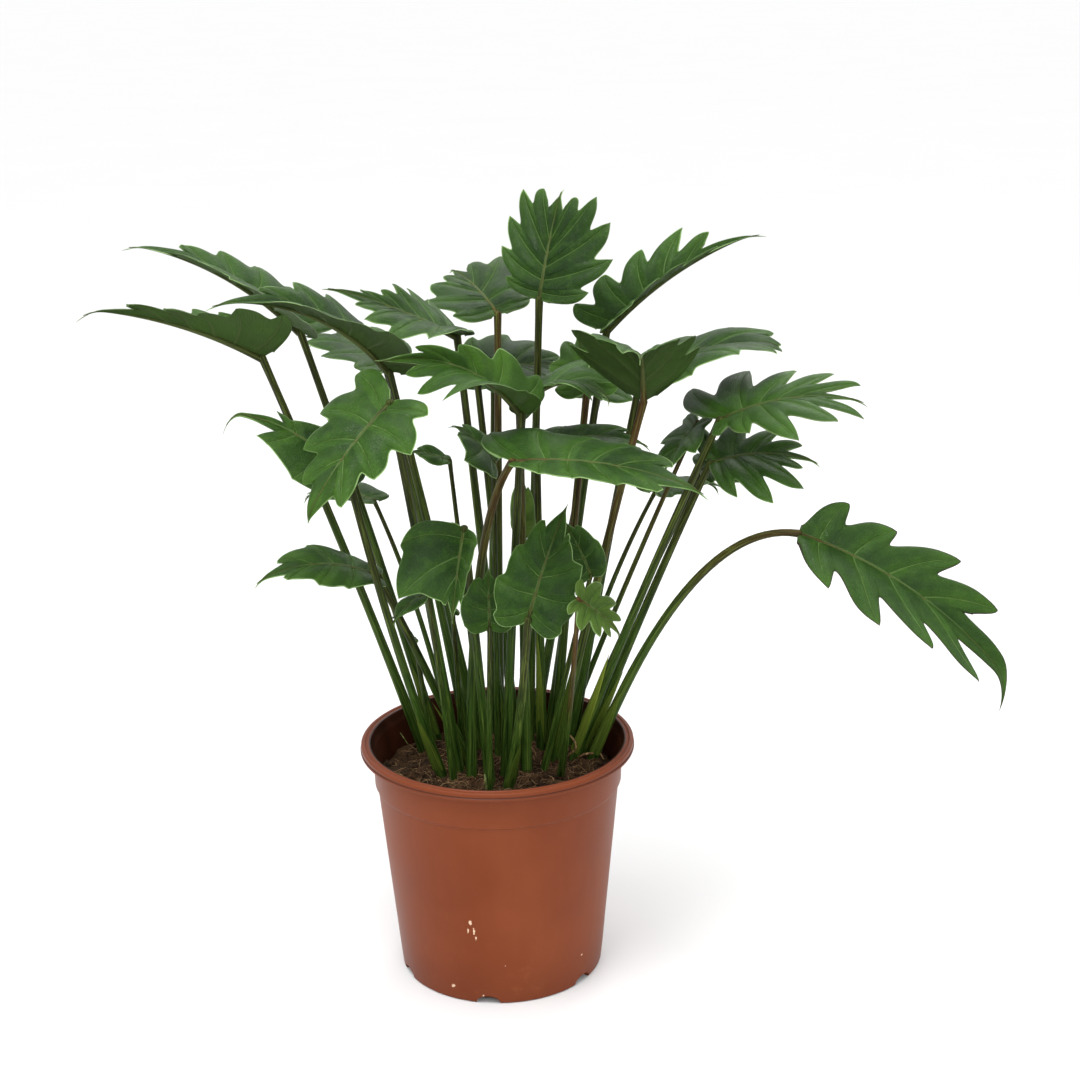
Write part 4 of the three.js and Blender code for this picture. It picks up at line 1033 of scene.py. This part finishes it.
def build_pot():
    """The turned pot, its notches cut through, with inner at 1 from the groove inwards."""
    shape = Shape("inner")
    profile = pot_profile()
    lathe(shape, profile, POT_SEGMENTS)
    peak = max(i for i, point in enumerate(profile) if point[1] >= POT_HEIGHT - 0.01)
    start = (peak - 1) * POT_SEGMENTS
    stop = (len(profile) - 2) * POT_SEGMENTS
    shape.fields["inner"][start:stop] = [1.0] * (stop - start)
    pot = shape.build("pot_shell", [pot_paint()], sharp=POT_SHARP)
    cutters = notch_cutters()
    cut = pot.modifiers.new("notches", "BOOLEAN")
    cut.operation = "DIFFERENCE"
    cut.object = cutters
    graph = bpy.context.evaluated_depsgraph_get()
    mesh = bpy.data.meshes.new_from_object(pot.evaluated_get(graph))
    pot.modifiers.clear()
    pot.data = mesh
    mesh.shade_smooth()
    mesh.set_sharp_from_angle(angle=math.radians(POT_SHARP))
    bpy.data.objects.remove(cutters)
    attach(pot, BODY)
    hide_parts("pot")


# ---- Soil ----

SOIL_RINGS = 84
SOIL_SEGMENTS = 260
# How far a ring wanders inwards, as a share of the gap between rings, and how often it does.
RING_WANDER = 0.4
WANDER_TURNS = 9
SOIL_SIDE_DROP = 20
LUMP_SIZE = 6
LUMP_HEIGHT = 2.4
GRIT_SIZE = 1.9
GRIT_HEIGHT = 0.9
HEAP_SLOPE = 0.6
# Heaps of loose soil: (x, y, radius, height).
HEAPS = ((-2, -58, 14, 6), (16, -60, 16, 7), (36, -50, 15, 6), (-30, -48, 15, 3), (50, -38, 12, 4))


def top_soil(x, y):
    """The soil's height at x, y: the model's, with heaps, lumps and grit."""
    height = float(soil_height(x, y))
    for hx, hy, radius, rise in HEAPS:
        height += rise * math.exp(-((x - hx) ** 2 + (y - hy) ** 2) / (HEAP_SLOPE * radius) ** 2)
    lumps = noise.turbulence(Vector((x, y, 3.0)) / LUMP_SIZE, 3, False)
    grit = noise.noise(Vector((x, y, 9.0)) / GRIT_SIZE)
    return height + LUMP_HEIGHT * (lumps - 0.5) + GRIT_HEIGHT * grit


def soil_paint():
    paint = new_paint("soil_peat")
    cloud = paint.noise(60.0, detail=5.0, roughness=0.6)
    grain = paint.noise(900.0, detail=5.0, roughness=0.7)
    fibre = paint.noise(420.0, stretch=(1, 0.12, 1), distortion=1.5)
    skin = paint.layers(
        colour(33, 23, 14),
        (paint.ramp(cloud, 0.3, 0.7), colour(76, 55, 36)),
        (paint.ramp(grain, 0.52, 0.72, 0.0, 0.6), colour(112, 82, 54)),
        (paint.ramp(fibre, 0.62, 0.78, 0.0, 0.45), colour(140, 108, 74)),
    )
    gloss = paint.ramp(cloud, 0.3, 0.7, 0.75, 0.95)
    return paint.finish(skin, gloss, grain * 0.7 + fibre * 0.5, 0.0012, 1.0, specular=0.12)


def build_soil(paint):
    shape = Shape()
    edge = inner_wall(SOIL_LEVEL) - CLEARANCE
    rings = []
    for i in range(1, SOIL_RINGS + 1):
        radius = edge * i / SOIL_RINGS
        wander = RING_WANDER * radius / SOIL_RINGS
        ring = []
        for turn in circle(SOIL_SEGMENTS):
            r = radius - wander * abs(noise.noise(Vector((turn * WANDER_TURNS, i, 0))))
            x, y = r * math.cos(turn), r * math.sin(turn)
            ring.append((x, y, top_soil(x, y)))
        rings.append(ring)
    side_top = SOIL_LEVEL - SOIL_SIDE_DROP
    side_foot = FLOOR + NOTCH_HEIGHT + BASE_ROUND
    bottom = FLOOR + CLEARANCE
    for radius, height in ((inner_wall(side_top) - CLEARANCE, side_top),
                           (inner_wall(side_foot) - CLEARANCE, side_foot),
                           (BASE_RADIUS - WALL - BASE_ROUND - NOTCH_DEPTH, bottom)):
        rings.append(ring_at(radius, height, SOIL_SEGMENTS))
    fanned_rings(shape, rings, (0, 0, top_soil(0, 0)), (0, 0, bottom), flip=False)
    soil = shape.build("soil_fill", [paint], sharp=80)
    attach(soil, BODY)
    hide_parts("soil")


CRUMB_COUNT = 1900
CRUMB_SIZES = (0.7, 3.0)
CRUMB_STRETCH = (0.7, 1.3)
CRUMB_ROUGHNESS = (0.75, 1.15)
CRUMB_FLATNESS = 0.8
CRUMB_LIFT = 0.25
SMALL_CRUMBS_POWER = 2.5
HEAPED_SHARE = 0.4
HEAP_SPREAD = 0.5
# How far loose pieces keep from the pot's wall.
SPOT_GAP = 2
CRUMB_GAP = 4
FIBRE_GAP = 3


def spot_on_soil(draw, reach):
    """A random place within reach, a share of the soil's radius."""
    radius = (inner_wall(SOIL_LEVEL) - SPOT_GAP) * reach * math.sqrt(draw.random())
    angle = 2 * math.pi * draw.random()
    return radius * math.cos(angle), radius * math.sin(angle)


def icosahedron():
    """A rough ball's twelve corners, from its top down, and its twenty faces."""
    level = 1 / math.sqrt(5)
    points = [(0, 0, 1)]
    for first, height in ((0, level), (36, -level)):
        for i in range(5):
            turn = math.radians(first + 72 * i)
            points.append((2 * level * math.cos(turn), 2 * level * math.sin(turn), height))
    points.append((0, 0, -1))
    ring = [(i, (i + 1) % 5) for i in range(5)]
    faces = [(0, 1 + a, 1 + b) for a, b in ring] + [(1 + a, 6 + a, 1 + b) for a, b in ring]
    faces += [(1 + b, 6 + a, 6 + b) for a, b in ring] + [(6 + a, 11, 6 + b) for a, b in ring]
    return np.round(points, 3), faces


def build_crumbs(paint):
    """Loose crumbs of peat, half sunk in the surface, thickest on the heaps."""
    draw = random.Random(SEED)
    shape = Shape()
    corners, faces = icosahedron()
    for _ in range(CRUMB_COUNT):
        x, y = spot_on_soil(draw, 0.98)
        if draw.random() < HEAPED_SHARE:
            hx, hy, radius, _ = HEAPS[draw.randrange(len(HEAPS))]
            spread = radius * HEAP_SPREAD
            x, y = hx + draw.gauss(0, spread), hy + draw.gauss(0, spread)
            if math.hypot(x, y) > inner_wall(SOIL_LEVEL) - CRUMB_GAP:
                continue
        size = mix(*CRUMB_SIZES, draw.random() ** SMALL_CRUMBS_POWER)
        stretch = [draw.uniform(*CRUMB_STRETCH) for _ in range(3)]
        turn = draw.random() * math.pi
        centre = np.array([x, y, top_soil(x, y) + CRUMB_LIFT * size])
        points = []
        for px, py, pz in corners:
            r = size * draw.uniform(*CRUMB_ROUGHNESS)
            qx = (px * math.cos(turn) - py * math.sin(turn)) * stretch[0]
            qy = (px * math.sin(turn) + py * math.cos(turn)) * stretch[1]
            points.append(centre + r * np.array([qx, qy, pz * stretch[2] * CRUMB_FLATNESS]))
        start = shape.add_points(points)
        shape.add_faces([tuple(start + corner for corner in face) for face in faces])
    crumbs = shape.build("soil_crumbs", [paint], sharp=180)
    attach(crumbs, BODY)


FIBRE_COUNT = 860
FIBRE_POINTS = 9
FIBRE_SIDES = 5
FIBRE_LENGTH = (10, 34)
FIBRE_RADIUS = (0.14, 0.34)
FIBRE_BEND = 2.4
FIBRE_KINK = 0.12
# How high a fibre's middle rises: half of them arch, and the others lie flat.
FIBRE_ARCH = (0.2, 2.6)
FIBRE_FLAT = 0.2
FIBRE_LIFT = 0.3


def fibre_paint():
    paint = new_paint("coir_fibre")
    streak = paint.noise(700.0, detail=2.0)
    skin = paint.layers(
        colour(44, 28, 16),
        (paint.field("tint"), colour(172, 138, 98)),
        (paint.ramp(streak, 0.4, 0.8, 0.0, 0.4), colour(60, 38, 22)),
    )
    return paint.finish(skin, 0.8, streak, 0.0003, 0.6, specular=0.15)


def build_fibres(paint):
    """Coir and fine roots that lie curled over the surface."""
    draw = random.Random(SEED + 1)
    shape = Shape("tint")
    for _ in range(FIBRE_COUNT):
        x, y = spot_on_soil(draw, 0.97)
        heading = draw.uniform(0, 2 * math.pi)
        length = draw.uniform(*FIBRE_LENGTH)
        bend = draw.gauss(0, FIBRE_BEND)
        rise = draw.uniform(*FIBRE_ARCH) if draw.random() < 0.5 else FIBRE_FLAT
        path = []
        for i in range(FIBRE_POINTS):
            share = i / (FIBRE_POINTS - 1)
            if math.hypot(x, y) < inner_wall(SOIL_LEVEL) - FIBRE_GAP:
                path.append((x, y, top_soil(x, y) + FIBRE_LIFT + rise * math.sin(math.pi * share)))
            heading += bend / FIBRE_POINTS + draw.gauss(0, FIBRE_KINK)
            x += math.cos(heading) * length / FIBRE_POINTS
            y += math.sin(heading) * length / FIBRE_POINTS
        if len(path) < 4:
            continue
        thick = draw.uniform(*FIBRE_RADIUS)
        radii = [thick * (1 - 0.5 * abs(2 * i / (len(path) - 1) - 1)) for i in range(len(path))]
        tube(shape, path, radii, FIBRE_SIDES, tint=draw.random() ** 1.2)
    fibres = shape.build("soil_fibres", [paint], sharp=180)
    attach(fibres, BODY)


# Scraps on the soil: a pale strip, a dry leaf, a dry husk, a loop of root and a bud. Each is a
# path in millimetres, a half width and how fresh it is, from 0, dry, to 1, green.
SCRAPS = (
    (((-81, 53, 172), (-77, 50, 167), (-72, 47, 160)), 1.3, 0.8),
    (((-88, -12, 160.5), (-82, -15, 162), (-76, -16, 162), (-70, -17, 160)), 3.2, 0.1),
    (((56, 19.5, 178), (60, 18.5, 173), (61, 18.5, 167), (54, 18, 161)), 2.8, 0.05),
    (((62, 16, 161), (67.5, 14.7, 164), (79.4, 17, 164), (82, 11.3, 160)), 0.9, 0.0),
    (((-8, -38, 158), (-8.5, -42, 167), (-9, -46, 175)), 3.4, 0.9),
)
SCRAP_STEPS = 14
SCRAP_SIDES = 10
SCRAP_THIN = 0.3
SCRAP_BLUNTNESS = 0.6
# A narrower scrap is round.
FLAT_SCRAP_WIDTH = 1


def scrap_paint():
    paint = new_paint("loose_scraps")
    streak = paint.noise(520.0)
    mottle = paint.ramp(streak, 0.35, 0.7)
    dry = paint.blend(mottle, colour(92, 64, 38), colour(168, 138, 94))
    green = paint.blend(mottle, colour(84, 104, 40), colour(166, 178, 116))
    skin = paint.blend(paint.field("fresh"), dry, green)
    return paint.finish(skin, 0.6, streak, 0.0005, 0.7, specular=0.2)


def build_scraps(paint):
    """The scraps, flattened and pointed, each path smoothed twice."""
    shape = Shape("fresh")
    share = np.linspace(0, 1, SCRAP_STEPS + 1)
    for path, half_width, fresh in SCRAPS:
        given = np.array(path, float)
        stops = np.linspace(0, 1, len(given))
        line = np.stack([np.interp(share, stops, given[:, axis]) for axis in range(3)], axis=1)
        for _ in range(2):
            line[1:-1] = (line[:-2] + 2 * line[1:-1] + line[2:]) / 4
        width = np.sin(np.pi * mix(0.1, 0.98, share)) ** SCRAP_BLUNTNESS
        radii = half_width * np.maximum(width, 0.08)

        def flattened(angles):
            return 1 / np.hypot(np.cos(angles) / SCRAP_THIN, np.sin(angles))

        squash = None if half_width < FLAT_SCRAP_WIDTH else flattened
        tube(shape, line, radii, SCRAP_SIDES, squash=squash, fresh=fresh)
    scraps = shape.build("soil_scraps", [paint], sharp=60)
    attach(scraps, BODY)


# ---- Floor, light and camera ----

# The floor, the camera and the lights are in metres.
FLOOR_SIZE = 60.0
FLOOR_TONES = ((0.66, 0.66, 0.66, 1), (0.68, 0.68, 0.68, 1))
CAMERA_PLACE = (0.0352, -1.419, 0.794)
CAMERA_PITCH = 17.6
CAMERA_ROLL = 0.93
FOCAL_PIXELS = 2000
IMAGE_PIXELS = 1080
SENSOR = 36.0


def build_floor():
    bpy.ops.mesh.primitive_plane_add(size=FLOOR_SIZE)
    floor = bpy.context.object
    floor.name = "floor"
    paint = new_paint("pale_floor")
    skin = paint.blend(paint.noise(3.0, detail=2.0), *FLOOR_TONES)
    floor.data.materials.append(paint.set(Base_Color=skin, Roughness=0.6, Specular_IOR_Level=0.2))


def add_light(name, place, target, size, power):
    light = bpy.data.lights.new(name, "AREA")
    light.shape = "DISK"
    light.size = size
    light.energy = power
    lamp = bpy.data.objects.new(name, light)
    lamp.location = place
    lamp.rotation_euler = (Vector(target) - Vector(place)).to_track_quat("-Z", "Y").to_euler()
    bpy.context.scene.collection.objects.link(lamp)


# The studio's light: its strength rises from the horizon to overhead, between these heights, and
# a low band at the horizon is as pale as the floor that it meets.
SKY = (0.0, 0.85, 0.3, 1.85)
HORIZON = (0.0, 0.12, 1.0, 0.0)


def build_lights():
    middle = (0, 0, 0.35)
    add_light("softbox_top", (-0.4, -0.7, 2.0), middle, 0.9, 24)
    add_light("softbox_front", (0.5, -2.2, 1.1), middle, 1.0, 12)
    add_light("softbox_back", (0.5, 1.8, 1.9), middle, 1.2, 12)
    studio = Paint(bpy.data.worlds.new("studio"), "Background")
    height = studio.axes(studio.node("TexCoord", {}, "Generated"))[2]
    sky, horizon = [studio.ramp(height, *heights, kind="LINEAR") for heights in (SKY, HORIZON)]
    bpy.context.scene.world = studio.set(Strength=sky.most(horizon), Color=(1, 1, 1, 1))


def build_camera():
    camera = bpy.data.cameras.new("camera")
    camera.sensor_width = SENSOR
    camera.lens = FOCAL_PIXELS * SENSOR / IMAGE_PIXELS
    camera.clip_end = 100
    stand = bpy.data.objects.new("camera", camera)
    pitch, roll = math.radians(CAMERA_PITCH), math.radians(CAMERA_ROLL)
    forward = Vector((0, math.cos(pitch), -math.sin(pitch)))
    right = Vector((math.cos(roll), -math.sin(roll) * math.sin(pitch), -math.sin(roll) * math.cos(pitch)))
    up = right.cross(forward)
    matrix = stand.matrix_world.to_3x3()
    matrix.col[0], matrix.col[1], matrix.col[2] = right, up, -forward
    stand.matrix_world = matrix.to_4x4()
    stand.location = CAMERA_PLACE
    bpy.context.scene.collection.objects.link(stand)
    bpy.context.scene.camera = stand


# ---- The whole plant ----


def build_plant():
    grown = leaf_paint("leaf_skin", LEAF_DARK, LEAF_MIDDLE, LEAF_LIGHT)
    young = leaf_paint("young_leaf_skin", YOUNG_DARK, YOUNG_MIDDLE, YOUNG_LIGHT)
    stalk = stalk_paint()
    for number, leaf in enumerate(LEAVES):
        seed = float(SEED_STEP * number)
        build_leaf(dict(leaf, seed=seed), [young if leaf["young"] else grown, stalk])


bpy.context.scene.view_settings.view_transform = "Standard"
build_pot()
peat = soil_paint()
build_soil(peat)
build_crumbs(peat)
build_fibres(fibre_paint())
build_scraps(scrap_paint())
build_plant()
build_floor()
build_lights()
build_camera()

bpy.context.view_layer.update()
